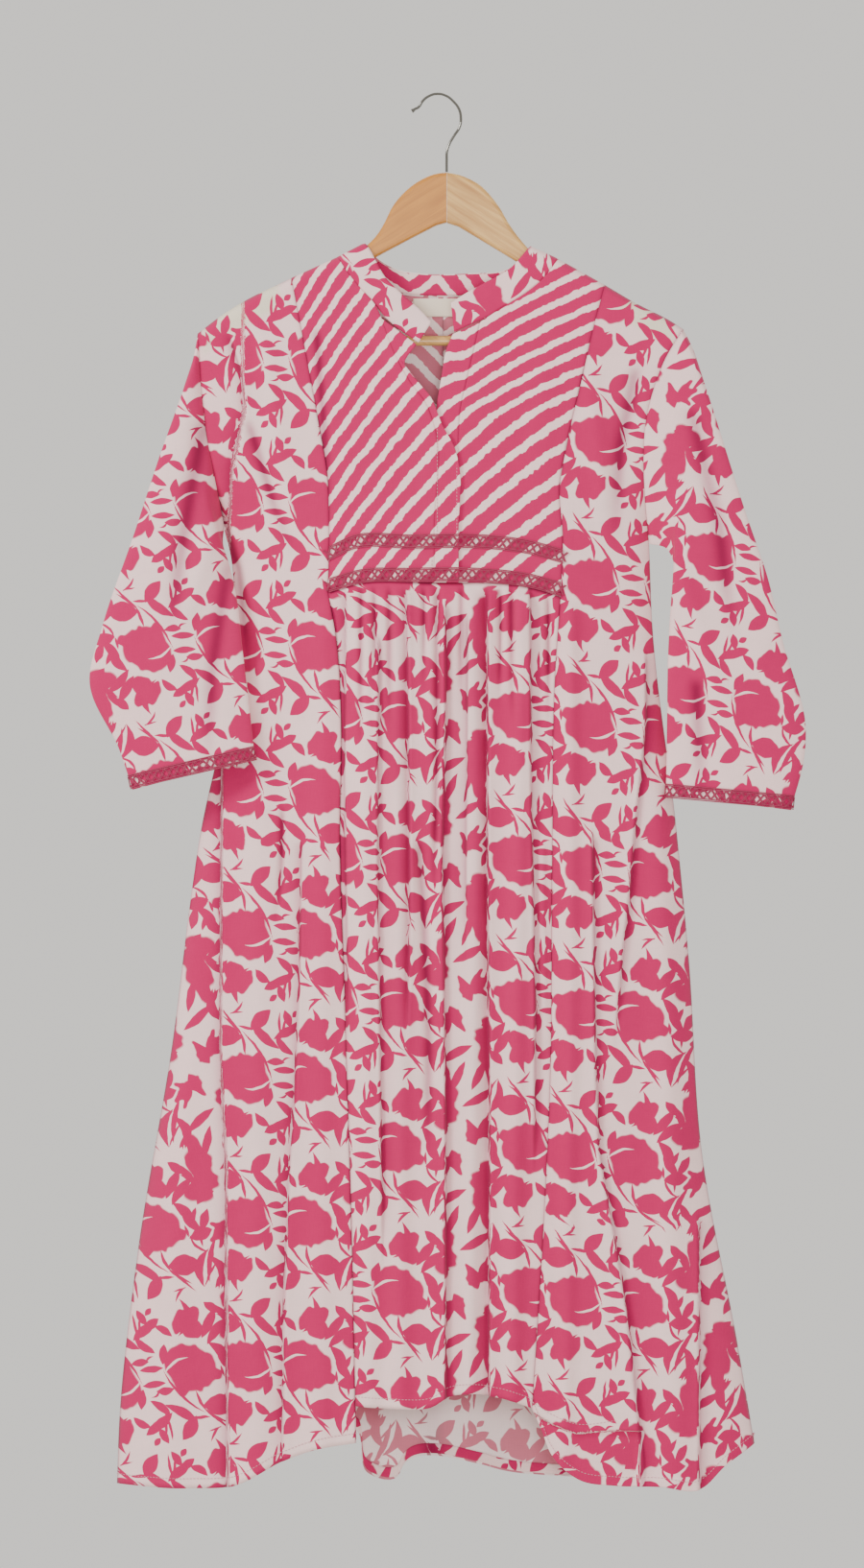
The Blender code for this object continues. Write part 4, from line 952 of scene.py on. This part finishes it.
def make_back():
    made = []
    left_end, middle, right_end = (
        (x, BACK_YOKE_Z) for x in (BACK_YOKE_LEFT_X, CENTRE_BACK_X, BACK_YOKE_RIGHT_X))
    left_edge = [p for p in ARMHOLE_LEFT if p[1] > BACK_YOKE_Z] + [left_end]
    right_edge = [p for p in ARMHOLE_RIGHT if p[1] > BACK_YOKE_Z] + [right_end]
    centre = Line([(CENTRE_BACK_X, -187), middle])
    shoulder = Line(SHOULDER_LEFT[:4] + SHOULDER_LEFT[5:6])
    left = patch(Joined(shoulder, Line(NECK_BACK[:4])), Line([left_end, middle]), Line(left_edge), centre)
    made.append(hung_fabric("back_yoke_cloth_left", "back_yoke_left", left, spread(240, 2.4),
                            shoulder_spread(115, 3), [], seams="rb", finish=STRIPE, belly=BACK_BELLY,
                            facing=1, cut=lambda x, z, tucked: (-x - 20, z), slot="striped_cotton"))
    shoulder = Line(SHOULDER_RIGHT[1:])
    right = patch(Joined(Line(NECK_BACK[3:]), shoulder), Line([middle, right_end]), centre, Line(right_edge))
    made.append(hung_fabric("back_yoke_cloth_right", "back_yoke_right", right, spread(240, 2.4),
                            shoulder_spread(115, 3), [], seams="lb", finish=STRIPE, belly=BACK_BELLY,
                            facing=1, cut=lambda x, z, tucked: (x + 30, z + 6), slot="striped_cotton"))
    left_edge = [left_end] + [p for p in ARMHOLE_LEFT + SIDE_LEFT[1:] if p[1] < BACK_YOKE_Z]
    right_edge = [right_end] + [p for p in ARMHOLE_RIGHT + SIDE_RIGHT[1:] if p[1] < BACK_YOKE_Z - 10]
    body = patch(Line([left_end, right_end]), Line(BACK_HEM), Line(left_edge), Line(right_edge))
    made.append(hung_fabric("back_cloth", "back_body", body, spread(460, 3.0), spread(962, 6.0), BACK_FOLDS,
                            seams="t", belly=BACK_BELLY, facing=1, extra=hem_turn(BACK_HEM),
                            cut=lambda x, z, tucked: grain(x, z, (30, -1165), 0)))
    low, high = [Line([(x, z + rise) for x, z in BACK_HEM]) for rise in (0.8, 10.0)]
    turned = patch(high, low, Line([high(0.0), low(0.0)]), Line([high(1.0), low(1.0)]))
    hem = hung_fabric("back_hem_turned_up", None, turned, spread(620, 3.0), spread(9.2, 1.5), BACK_FOLDS,
                      forward=0.9, belly=BACK_BELLY, facing=1, thickness=0.5, finish=("flower", "flower"),
                      cut=lambda x, z, tucked: grain(x, z, (74, -1220), 180))
    MADE["back_hem"] = hem[0]
    return made


def make_collar():
    seam = [Line(COLLAR_SEAM_LEFT), Line(NECK_BACK), Line(COLLAR_SEAM_RIGHT[::-1])]
    edge = [Line(COLLAR_EDGE_LEFT), Line(COLLAR_EDGE_BACK), Line(COLLAR_EDGE_RIGHT[::-1])]

    def band(us, vs, inward=0.0):
        x, y, z = (np.zeros((len(vs), len(us))) for _ in range(3))
        for part in (0, 1, 2):
            here = (us >= part) & ((us < part + 1) if part < 2 else (us <= 3))
            share = us[here] - part
            low, high = seam[part](share), edge[part](share)
            flat = low[None] + (high - low)[None] * vs[:, None, None]
            side, belly = (1, BACK_BELLY) if part == 1 else (-1, FRONT_BELLY)
            round_top = 0.6 * (1 - (2 * vs[:, None] - 1) ** 2)
            x[:, here], z[:, here] = flat[..., 0], flat[..., 1]
            out = depth(flat[..., 0], flat[..., 1], belly, 0.0) + round_top * (part != 1)
            y[:, here] = side * out - inward
        return x, y, z

    us = np.unique(np.concatenate([np.linspace(0, 3, 181), 1 + np.linspace(-0.06, 0.1, 33),
                                   2 - np.linspace(-0.06, 0.1, 33)]))
    vs = np.linspace(0, 1, 13)
    x, y, z = band(us, vs)
    rests = ("folded", HANGER_ARMS)
    fold_shade = np.zeros_like(x)
    cut = grain(x, z, (-70, -150), 25)
    cut = (np.where((us > 1) & (us < 2), x, cut[0]), cut[1])
    made = [cloth("collar_cloth", "collar_band", "floral_cotton", pair(FLOWER), (x, y, z), cut, fold_shade, 1.5, -1,
                  rests)]
    us, vs = np.linspace(1.12, 1.88, 91), np.linspace(0.06, 0.95, 9)
    x, y, z = band(us, vs, 1.5)
    made.append(cloth("collar_facing_cloth", "collar_facing", "striped_cotton", pair(("stripe", "stripe")),
                      (x, y, z), (-x, z), 0 * x, 0.8, 1, rests))
    return made


def make_label():
    left, right, top, bottom = LABEL
    x, z = np.meshgrid(np.linspace(left, right, 41), np.linspace(top, bottom, 15))
    y = depth(x, z, BACK_BELLY) - 1.7 - 0.3 * np.sin((x - left) / 9)
    return cloth("neck_label", "label", "label", [label_material()] * 2, (x, y, z), (x, z), 0 * x, 0.5, 1,
                 ("stretched", ["back_yoke_cloth_left", "back_yoke_cloth_right"]))


def sleeve_tube(side):
    """The sleeve by turns round it and shares down it: x, y, z, place on the cut, and how much painted fold
    shade it gets.
    """
    armhole = ARMHOLE_LEFT if side == "left" else ARMHOLE_RIGHT
    outer = SLEEVE_OUT_LEFT if side == "left" else SLEEVE_OUT_RIGHT
    inner = SLEEVE_IN_LEFT if side == "left" else SLEEVE_IN_RIGHT
    seam, outer, inner = Line(armhole), Line(outer), Line(inner)
    area = patch(seam, Line([outer(1.0), inner(1.0)]), outer, inner)
    forward = SLEEVE_FORWARD[side]
    origin, tilt = ((-234, -510), 9.3) if side == "left" else ((262, -560), -12)

    def place(turns, vs):
        angle = 2 * np.pi * turns
        share = (1 - np.cos(angle)) / 2
        order = np.argsort(share)
        x, z = area(share[order], vs)
        back_order = np.argsort(order)
        x, z = x[:, back_order], z[:, back_order]
        sine = np.sin(angle)
        rise = np.sign(sine) * np.abs(sine) ** 0.7
        on_seam = seam(share)
        ends = np.minimum(np.abs(sine) * 4, 1.0)
        at_body = np.where(sine > 0, depth(on_seam[:, 0], on_seam[:, 1], FRONT_BELLY),
                           depth(on_seam[:, 0], on_seam[:, 1], BACK_BELLY)) * ends * np.sign(sine)
        v = vs[:, None]
        fade = smooth(v, 0.0, 0.2)
        centre = -forward * (1 - np.exp(-3.2 * v)) / (1 - np.exp(-3.2))
        lift, _, fold_shade = fold_up(x, z, SLEEVE_FOLDS[side])
        front = np.abs(sine) ** 0.5
        y = centre - (1 - fade) * at_body - fade * SLEEVE_HALF_DEPTH * rise - np.sign(sine) * lift * front
        u, w = grain(x, z, origin, tilt, SLEEVE_EASE)
        return x, y, z, u, w, fold_shade * front

    return place


def make_sleeves():
    made, cuffs = [], {}
    for side in ("left", "right"):
        place = sleeve_tube(side)
        turns = np.linspace(0, 1, 161)
        vs = np.concatenate([[0, 0.003, 0.006, 0.012], np.linspace(0.02, 1, 96)])
        x, y, z, u, w, fold_shade = place(turns, vs)
        seam = np.exp(-vs[:, None] * 430 / 2)
        y = y + 0.9 * seam * np.sign(np.sin(2 * np.pi * turns))
        # Painted shade: the sleeve's colour darkens next to its armhole seam
        fold_shade = np.clip(fold_shade + 0.8 * seam**2, 0, 1)
        made.append(cloth(f"sleeve_cloth_{side}", f"sleeve_{side}", "floral_cotton", pair(FLOWER), (x, y, z),
                          (u, w), fold_shade, cloth_thickness(), -1 if side == "left" else 1, ("hung", []),
                          ring=True))
        cuffs[side] = place
    return made, cuffs


# ---------------------------------------------------------------- lace and stitches (Geometry Nodes)


def path_object(name, lines):
    """Polylines of points in mm as an object of loose edges, for a node tree to follow."""
    points, edges = [], []
    for line, closed in lines:
        first = len(points)
        points += [tuple(float(c) * MM for c in p) for p in line]
        edges += [(k, k + 1) for k in range(first, len(points) - 1)]
        if closed:
            edges.append((len(points) - 1, first))
    mesh = bpy.data.meshes.new(name)
    mesh.from_pydata(points, edges, [])
    return mesh


def lace_tree():
    """Lace along a path: doubled threads crossed in a lattice between raised cords."""
    tree, start, end = group("GeometryNodeTree", "Lace lattice", [
        ("Path", "NodeSocketGeometry", None), ("Down", "NodeSocketVector", (0, 0, -1)),
        ("Half height", "NodeSocketFloat", 0.0046), ("Pitch", "NodeSocketFloat", 0.0066),
        ("Thread radius", "NodeSocketFloat", 0.00050), ("Cord radius", "NodeSocketFloat", 0.00058),
        ("Thread", "NodeSocketMaterial", None)], [("Lace", "NodeSocketGeometry")])
    path, down, half, pitch, thread, cord, material = start.outputs[:7]
    curve = add(tree, "GeometryNodeMeshToCurve", (path,))
    spaced = add(tree, "GeometryNodeResampleCurve", {"Curve": curve, "Length": pitch}, mode="LENGTH")
    round_thread = add(tree, "GeometryNodeCurvePrimitiveCircle", {"Resolution": 5, "Radius": thread})
    round_cord = add(tree, "GeometryNodeCurvePrimitiveCircle", {"Resolution": 6, "Radius": cord})
    cell = add(tree, "GeometryNodeJoinGeometry", out=None)
    for lean in (1, -1):
        for shift in (-0.09, 0.09):
            ends = []
            for end_up in (1, -1):
                along = maths(tree, "MULTIPLY", pitch, (0.5 * lean * end_up) + shift)
                rise = maths(tree, "MULTIPLY", half, float(end_up))
                ends.append(add(tree, "ShaderNodeCombineXYZ", (along, 0.0, rise)))
            line = add(tree, "GeometryNodeCurvePrimitiveLine", {"Start": ends[0], "End": ends[1]})
            tube = add(tree, "GeometryNodeCurveToMesh", {"Curve": line, "Profile Curve": round_thread,
                                                         "Fill Caps": True})
            tree.links.new(tube, cell.inputs[0])
    tangent = add(tree, "GeometryNodeInputTangent")
    turned = add(tree, "FunctionNodeAlignRotationToVector", {"Vector": tangent}, axis="X")
    up = add(tree, "ShaderNodeVectorMath", {0: down, 3: -1.0}, operation="SCALE")
    turned = add(tree, "FunctionNodeAlignRotationToVector", {"Rotation": turned, "Vector": up}, axis="Z",
                 pivot_axis="X")
    cells = add(tree, "GeometryNodeInstanceOnPoints", {"Points": spaced, "Instance": cell.outputs[0],
                                                       "Rotation": turned})
    every = add(tree, "GeometryNodeJoinGeometry", out=None)
    tree.links.new(cells, every.inputs[0])
    for share in (-1.0, -1.3, 1.0, 1.3):
        away = add(tree, "ShaderNodeVectorMath", {0: down, 3: maths(tree, "MULTIPLY", half, share)},
                   operation="SCALE")
        moved = add(tree, "GeometryNodeSetPosition", {"Geometry": curve, "Offset": away})
        even = add(tree, "GeometryNodeResampleCurve", {"Curve": moved, "Length": 0.0022}, mode="LENGTH")
        edge = add(tree, "GeometryNodeCurveToMesh", {"Curve": even, "Profile Curve": round_cord,
                                                     "Fill Caps": True})
        tree.links.new(edge, every.inputs[0])
    real = add(tree, "GeometryNodeRealizeInstances", (every.outputs[0],))
    done = add(tree, "GeometryNodeSetMaterial", {"Geometry": real, "Material": material})
    tree.links.new(done, end.inputs[0])
    return tree


def stitch_tree():
    """A row of machine stitches along a path: short plump threads with a gap at each needle hole."""
    tree, start, end = group("GeometryNodeTree", "Running stitches", [
        ("Path", "NodeSocketGeometry", None), ("Stitch pitch", "NodeSocketFloat", 0.0032),
        ("Thread radius", "NodeSocketFloat", 0.00032), ("Thread", "NodeSocketMaterial", None)],
        [("Stitches", "NodeSocketGeometry")])
    path, pitch, radius, material = start.outputs[:4]
    curve = add(tree, "GeometryNodeMeshToCurve", (path,))
    spaced = add(tree, "GeometryNodeResampleCurve", {"Curve": curve, "Length": pitch}, mode="LENGTH")
    ball = add(tree, "GeometryNodeMeshUVSphere", {"Segments": 6, "Rings": 4, "Radius": radius})
    long = maths(tree, "DIVIDE", maths(tree, "MULTIPLY", pitch, 0.40), radius)
    size = add(tree, "ShaderNodeCombineXYZ", (long, 1.0, 1.0))
    one = add(tree, "GeometryNodeTransform", {"Geometry": ball, "Scale": size})
    turned = add(tree, "FunctionNodeAlignRotationToVector", {"Vector": add(tree, "GeometryNodeInputTangent")},
                 axis="X")
    row = add(tree, "GeometryNodeInstanceOnPoints", {"Points": spaced, "Instance": one, "Rotation": turned})
    real = add(tree, "GeometryNodeRealizeInstances", (row,))
    done = add(tree, "GeometryNodeSetMaterial", {"Geometry": real, "Material": material})
    tree.links.new(done, end.inputs[0])
    return tree


def grown(name, lines, tree, values, slot, *nodes):
    """A piece that a node tree makes along paths, kept as a plain mesh."""
    obj = bpy.data.objects.new(name, path_object(name, lines))
    bpy.context.scene.collection.objects.link(obj)
    modifier = obj.modifiers.new("Grown", "NODES")
    modifier.node_group = tree
    sockets = {item.name: item.identifier for item in tree.interface.items_tree if item.in_out == "INPUT"}
    for label, value in values.items():
        modifier[sockets[label]] = value
    settle(obj)
    for polygon in obj.data.polygons:
        polygon.use_smooth = True
    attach(obj, BODY)
    if nodes:
        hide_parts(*nodes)
    return obj


def on_front(points, forward, folds=(), step=2.0, extra=None):
    """A line on the front of the dress through (X, Z) points, held forward of it."""
    line = Line(points)
    at = line(np.linspace(0, 1, max(int(line.length / step), 2)))
    x, z = at[:, 0], at[:, 1]
    lift = fold_up(x, z, folds)[0] if len(folds) else 0
    out = depth(x, z, FRONT_BELLY) + lift + forward + (extra(x, z) if extra else 0)
    return np.stack([x, -out, z], -1)


def over_placket(x, z):
    return PLACKET_LAP * smooth(x, *LACE_STEP_LEFT) * (1 - smooth(x, *LACE_STEP_RIGHT))


def make_lace(tubes):
    tree = lace_tree()
    made = {}
    for name, node, line in (("lace_band_upper", "lace_yoke_upper", UPPER_LACE),
                             ("lace_band_lower", "lace_yoke_lower", LOWER_LACE)):
        path = on_front(line, LACE_LIFT, extra=over_placket)
        made[node] = grown(name, [(path, False)], tree, {
            "Down": (0.0, 0.0, -1.0), **LACE_SIZES, "Thread": finish_of("lace")}, "lace", node)
    for side, place in tubes.items():
        turns = np.linspace(0, 1, 241)[:-1]
        fold = Line(SLEEVE_OUT_LEFT if side == "left" else SLEEVE_OUT_RIGHT).length
        share = 1 - (CUFF_BAND / 2 + 0.6) / fold
        x, y, z, *_ = place(turns, np.array([share - 0.01, share, 1.0]))
        middle = np.stack([x[1], y[1], z[1]], -1)
        along = np.roll(middle, -1, 0) - np.roll(middle, 1, 0)
        fall = np.stack([x[2] - x[0], y[2] - y[0], z[2] - z[0]], -1)
        out = np.cross(along, fall)
        out /= np.linalg.norm(out, axis=1, keepdims=True)
        centre = middle.mean(0)
        if ((middle - centre) * out).sum() < 0:
            out = -out
        down = fall.mean(0)
        level = middle[120] - middle[0]
        down -= level * (down @ level) / (level @ level)
        down /= np.linalg.norm(down)
        path = middle + out * LACE_LIFT
        made[f"lace_cuff_{side}"] = grown(f"lace_band_cuff_{side}", [(path, True)], tree, {
            "Down": tuple(float(c) for c in down), **LACE_SIZES, "Thread": finish_of("lace")},
            "lace", f"lace_cuff_{side}")
    return made


def above(points, rise):
    return [(x, z + rise) for x, z in points]


def make_stitches():
    tree = stitch_tree()
    sizes = bpy.context.scene.kurta_sizes
    values = {"Stitch pitch": sizes.stitch, "Thread": finish_of("thread")}
    half = sizes.cloth * 500 + 0.15
    made = {}
    rows = {
        "hem_stitches_left": [(on_front(above(HEM_LEFT, HEM_STITCH), half + 0.5, LEFT_FOLDS), False)],
        "hem_stitches_centre": [(on_front(above(HEM_CENTRE, HEM_STITCH), half + 0.5, CENTRE_FOLDS), False)],
        "hem_stitches_right": [
            (on_front(above(line, HEM_STITCH), half, RIGHT_FOLDS, extra=pleat), False)
            for line in (HEM_RIGHT, PLEAT_HEM[:-1])],
        "placket_stitches": [
            (on_front([(0.5, -312), (0.5, -406)], half + PLACKET_LAP, step=1.0), False),
            (on_front([(18.6, -345), (18.6, -406)], half + PLACKET_LAP, step=1.0), False),
            (on_front([(-4.5, -434), (-4.5, -441)], half + PLACKET_LAP, step=1.0), False),
            (on_front([(18.6, -434), (18.6, -441)], half + PLACKET_LAP, step=1.0), False)],
    }
    for name, lines in rows.items():
        made[name] = grown(name, lines, tree, values, "floral_cotton")
    return made


# ---------------------------------------------------------------- hanger and stage


def make_hanger():
    dark = lacquered_wood("Lacquered pine, darker board", "#D08A2C", "#A05C18", 33, 0.60)
    pale = lacquered_wood("Lacquered pine, paler board", "#E4B468", "#A86A24", -33, 0.80)
    metal = chrome()
    for name, material in (("hanger_arm_left", dark), ("hanger_arm_right", pale), ("hanger_bar", pale),
                           ("hanger_hook", metal)):
        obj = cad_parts[name]
        obj.data.materials.clear()
        obj.data.materials.append(material)


def plain(name, colour, roughness=0.9):
    """Matt painted plaster, with a faint mottle."""
    made, tree, shader = new_material(name)
    place = add(tree, "ShaderNodeTexCoord", out=3)
    mottle = add(tree, "ShaderNodeTexNoise", {"Vector": place, "Scale": 6.0, "Detail": 4.0})
    tree.links.new(blend(tree, maths(tree, "MULTIPLY", mottle, 0.08), srgb(colour), srgb("#B9B4AE")),
                   shader.inputs["Base Color"])
    shader.inputs["Roughness"].default_value = roughness
    return made


def light(name, place, aim, size, energy, colour=(1.0, 1.0, 1.0)):
    lamp = bpy.data.lights.new(name, "AREA")
    lamp.energy, lamp.size, lamp.color = energy, size, colour
    obj = bpy.data.objects.new(name, lamp)
    bpy.context.scene.collection.objects.link(obj)
    obj.location = place
    direction = Vector(aim) - Vector(place)
    obj.rotation_euler = direction.to_track_quat("-Z", "Y").to_euler()
    return obj


def make_stage():
    sizes = bpy.context.scene.kurta_stage
    bpy.ops.mesh.primitive_circle_add(vertices=96, radius=1.35, fill_type="NGON", location=(0, 0, -1.72))
    floor = bpy.context.active_object
    floor.name = "pale_floor"
    floor.data.materials.append(plain("Matt plaster", "#D9D5CF"))
    world = bpy.data.worlds.new("Soft studio")
    bpy.context.scene.world = world
    world.use_nodes = True
    back = world.node_tree.nodes["Background"]
    back.inputs["Color"].default_value = srgb("#E2DFDA")
    back.inputs["Strength"].default_value = sizes.world
    light("key", (-2.2, -1.7, 0.9), (0, 0, -0.65), 0.7, sizes.key)
    light("fill", (0.2, -3.0, -0.6), (0, 0, -0.65), 0.9, sizes.fill)
    light("rim", (0.4, 2.2, 0.6), (0, 0, -0.6), 2.0, sizes.rim)
    camera = bpy.data.cameras.new("camera")
    camera.sensor_fit = "AUTO"
    camera.sensor_width = 36.0
    distance, height = 6.5, 1634 * 0.89 * MM
    camera.lens = camera.sensor_width * distance / height
    camera.clip_start, camera.clip_end = 0.05, 50
    obj = bpy.data.objects.new("camera", camera)
    bpy.context.scene.collection.objects.link(obj)
    obj.location = ((450 - 455) * 0.89 * MM, -distance - 0.02, (97 - 817) * 0.89 * MM)
    obj.rotation_euler = (math.radians(90), 0, 0)
    bpy.context.scene.camera = obj


# ---------------------------------------------------------------- the add-on

MADE = {}


class KurtaSizes(bpy.types.PropertyGroup):
    cloth: FloatProperty(name="Cloth", description="Thickness of the cotton as shown", default=0.0009,
                         min=0.0003, max=0.002, unit="LENGTH")
    stitch: FloatProperty(name="Stitch pitch", description="Length of one stitch and its gap", default=0.0032,
                          min=0.001, max=0.01, unit="LENGTH")


class KurtaColours(bpy.types.PropertyGroup):
    ink: FloatVectorProperty(name="Ink", description="Colour of the block print", subtype="COLOR", size=3,
                             default=srgb("#C21A5A")[:3], min=0, max=1)
    ground: FloatVectorProperty(name="Ground", description="Colour of the unprinted cotton", subtype="COLOR",
                                size=3, default=srgb("#FBD7D5")[:3], min=0, max=1)
    lace: FloatVectorProperty(name="Lace", description="Colour of the lace thread", subtype="COLOR", size=3,
                              default=srgb("#B4305A")[:3], min=0, max=1)


class KurtaStage(bpy.types.PropertyGroup):
    world: FloatProperty(name="Surround", description="Strength of the soft surround", default=1.22, min=0)
    key: FloatProperty(name="Key light", description="Power of the main soft light", default=58.0, min=0,
                       unit="POWER")
    fill: FloatProperty(name="Fill light", description="Power of the light that fills shadows", default=34.0,
                        min=0, unit="POWER")
    rim: FloatProperty(name="Back light", description="Power of the light from behind", default=14.0, min=0,
                       unit="POWER")


class KURTA_OT_front(bpy.types.Operator):
    """Makes the two side panels and the gathered centre panel"""

    bl_idname = "kurta.front"
    bl_label = "Front panels"

    def execute(self, context):
        MADE["front"] = make_front()
        return {"FINISHED"}


class KURTA_OT_yokes(bpy.types.Operator):
    """Makes the striped yoke and both plackets"""

    bl_idname = "kurta.yokes"
    bl_label = "Yokes and plackets"

    def execute(self, context):
        MADE["yokes"] = make_yokes()
        return {"FINISHED"}


class KURTA_OT_back(bpy.types.Operator):
    """Makes the back yoke and the back panel"""

    bl_idname = "kurta.back"
    bl_label = "Back"

    def execute(self, context):
        MADE["back"] = make_back()
        return {"FINISHED"}


class KURTA_OT_collar(bpy.types.Operator):
    """Makes the band collar, its striped facing and the label"""

    bl_idname = "kurta.collar"
    bl_label = "Collar and label"

    def execute(self, context):
        MADE["collar"] = make_collar()
        MADE["label"] = [make_label()]
        return {"FINISHED"}


class KURTA_OT_sleeves(bpy.types.Operator):
    """Makes both sleeves"""

    bl_idname = "kurta.sleeves"
    bl_label = "Sleeves"

    def execute(self, context):
        MADE["sleeves"], MADE["tubes"] = make_sleeves()
        return {"FINISHED"}


class KURTA_OT_trims(bpy.types.Operator):
    """Adds the lace and the stitches"""

    bl_idname = "kurta.trims"
    bl_label = "Lace and stitches"

    def execute(self, context):
        lace = make_lace(MADE["tubes"])
        stitches = make_stitches()
        return {"FINISHED"}


class KURTA_OT_hanger(bpy.types.Operator):
    """Gives the hanger its wood and its chrome"""

    bl_idname = "kurta.hanger"
    bl_label = "Hanger"

    def execute(self, context):
        make_hanger()
        return {"FINISHED"}


class KURTA_OT_stage(bpy.types.Operator):
    """Makes the floor, the lights and the camera"""

    bl_idname = "kurta.stage"
    bl_label = "Stage"

    def execute(self, context):
        make_stage()
        return {"FINISHED"}


class KURTA_PT_panel(bpy.types.Panel):
    """Lists the sizes, the colours and the pieces"""

    bl_label = "Kurta"
    bl_idname = "KURTA_PT_panel"
    bl_space_type = "VIEW_3D"
    bl_region_type = "UI"
    bl_category = "Kurta"

    def draw(self, context):
        for holder in (context.scene.kurta_sizes, context.scene.kurta_colours, context.scene.kurta_stage):
            for name in holder.__annotations__:
                self.layout.prop(holder, name)
        for operator in OPERATORS:
            self.layout.operator(operator.bl_idname)


OPERATORS = (KURTA_OT_yokes, KURTA_OT_front, KURTA_OT_back, KURTA_OT_collar, KURTA_OT_sleeves, KURTA_OT_trims,
             KURTA_OT_hanger, KURTA_OT_stage)
CLASSES = (KurtaSizes, KurtaColours, KurtaStage, *OPERATORS, KURTA_PT_panel)


def register():
    for each in CLASSES:
        bpy.utils.register_class(each)
    bpy.types.Scene.kurta_sizes = PointerProperty(type=KurtaSizes)
    bpy.types.Scene.kurta_colours = PointerProperty(type=KurtaColours)
    bpy.types.Scene.kurta_stage = PointerProperty(type=KurtaStage)


def unregister():
    del bpy.types.Scene.kurta_sizes, bpy.types.Scene.kurta_colours, bpy.types.Scene.kurta_stage
    for each in reversed(CLASSES):
        bpy.utils.unregister_class(each)


def main():
    register()
    for operator in OPERATORS:
        family, name = operator.bl_idname.split(".")
        getattr(getattr(bpy.ops, family), name)()


if __name__ == "__main__":
    main()
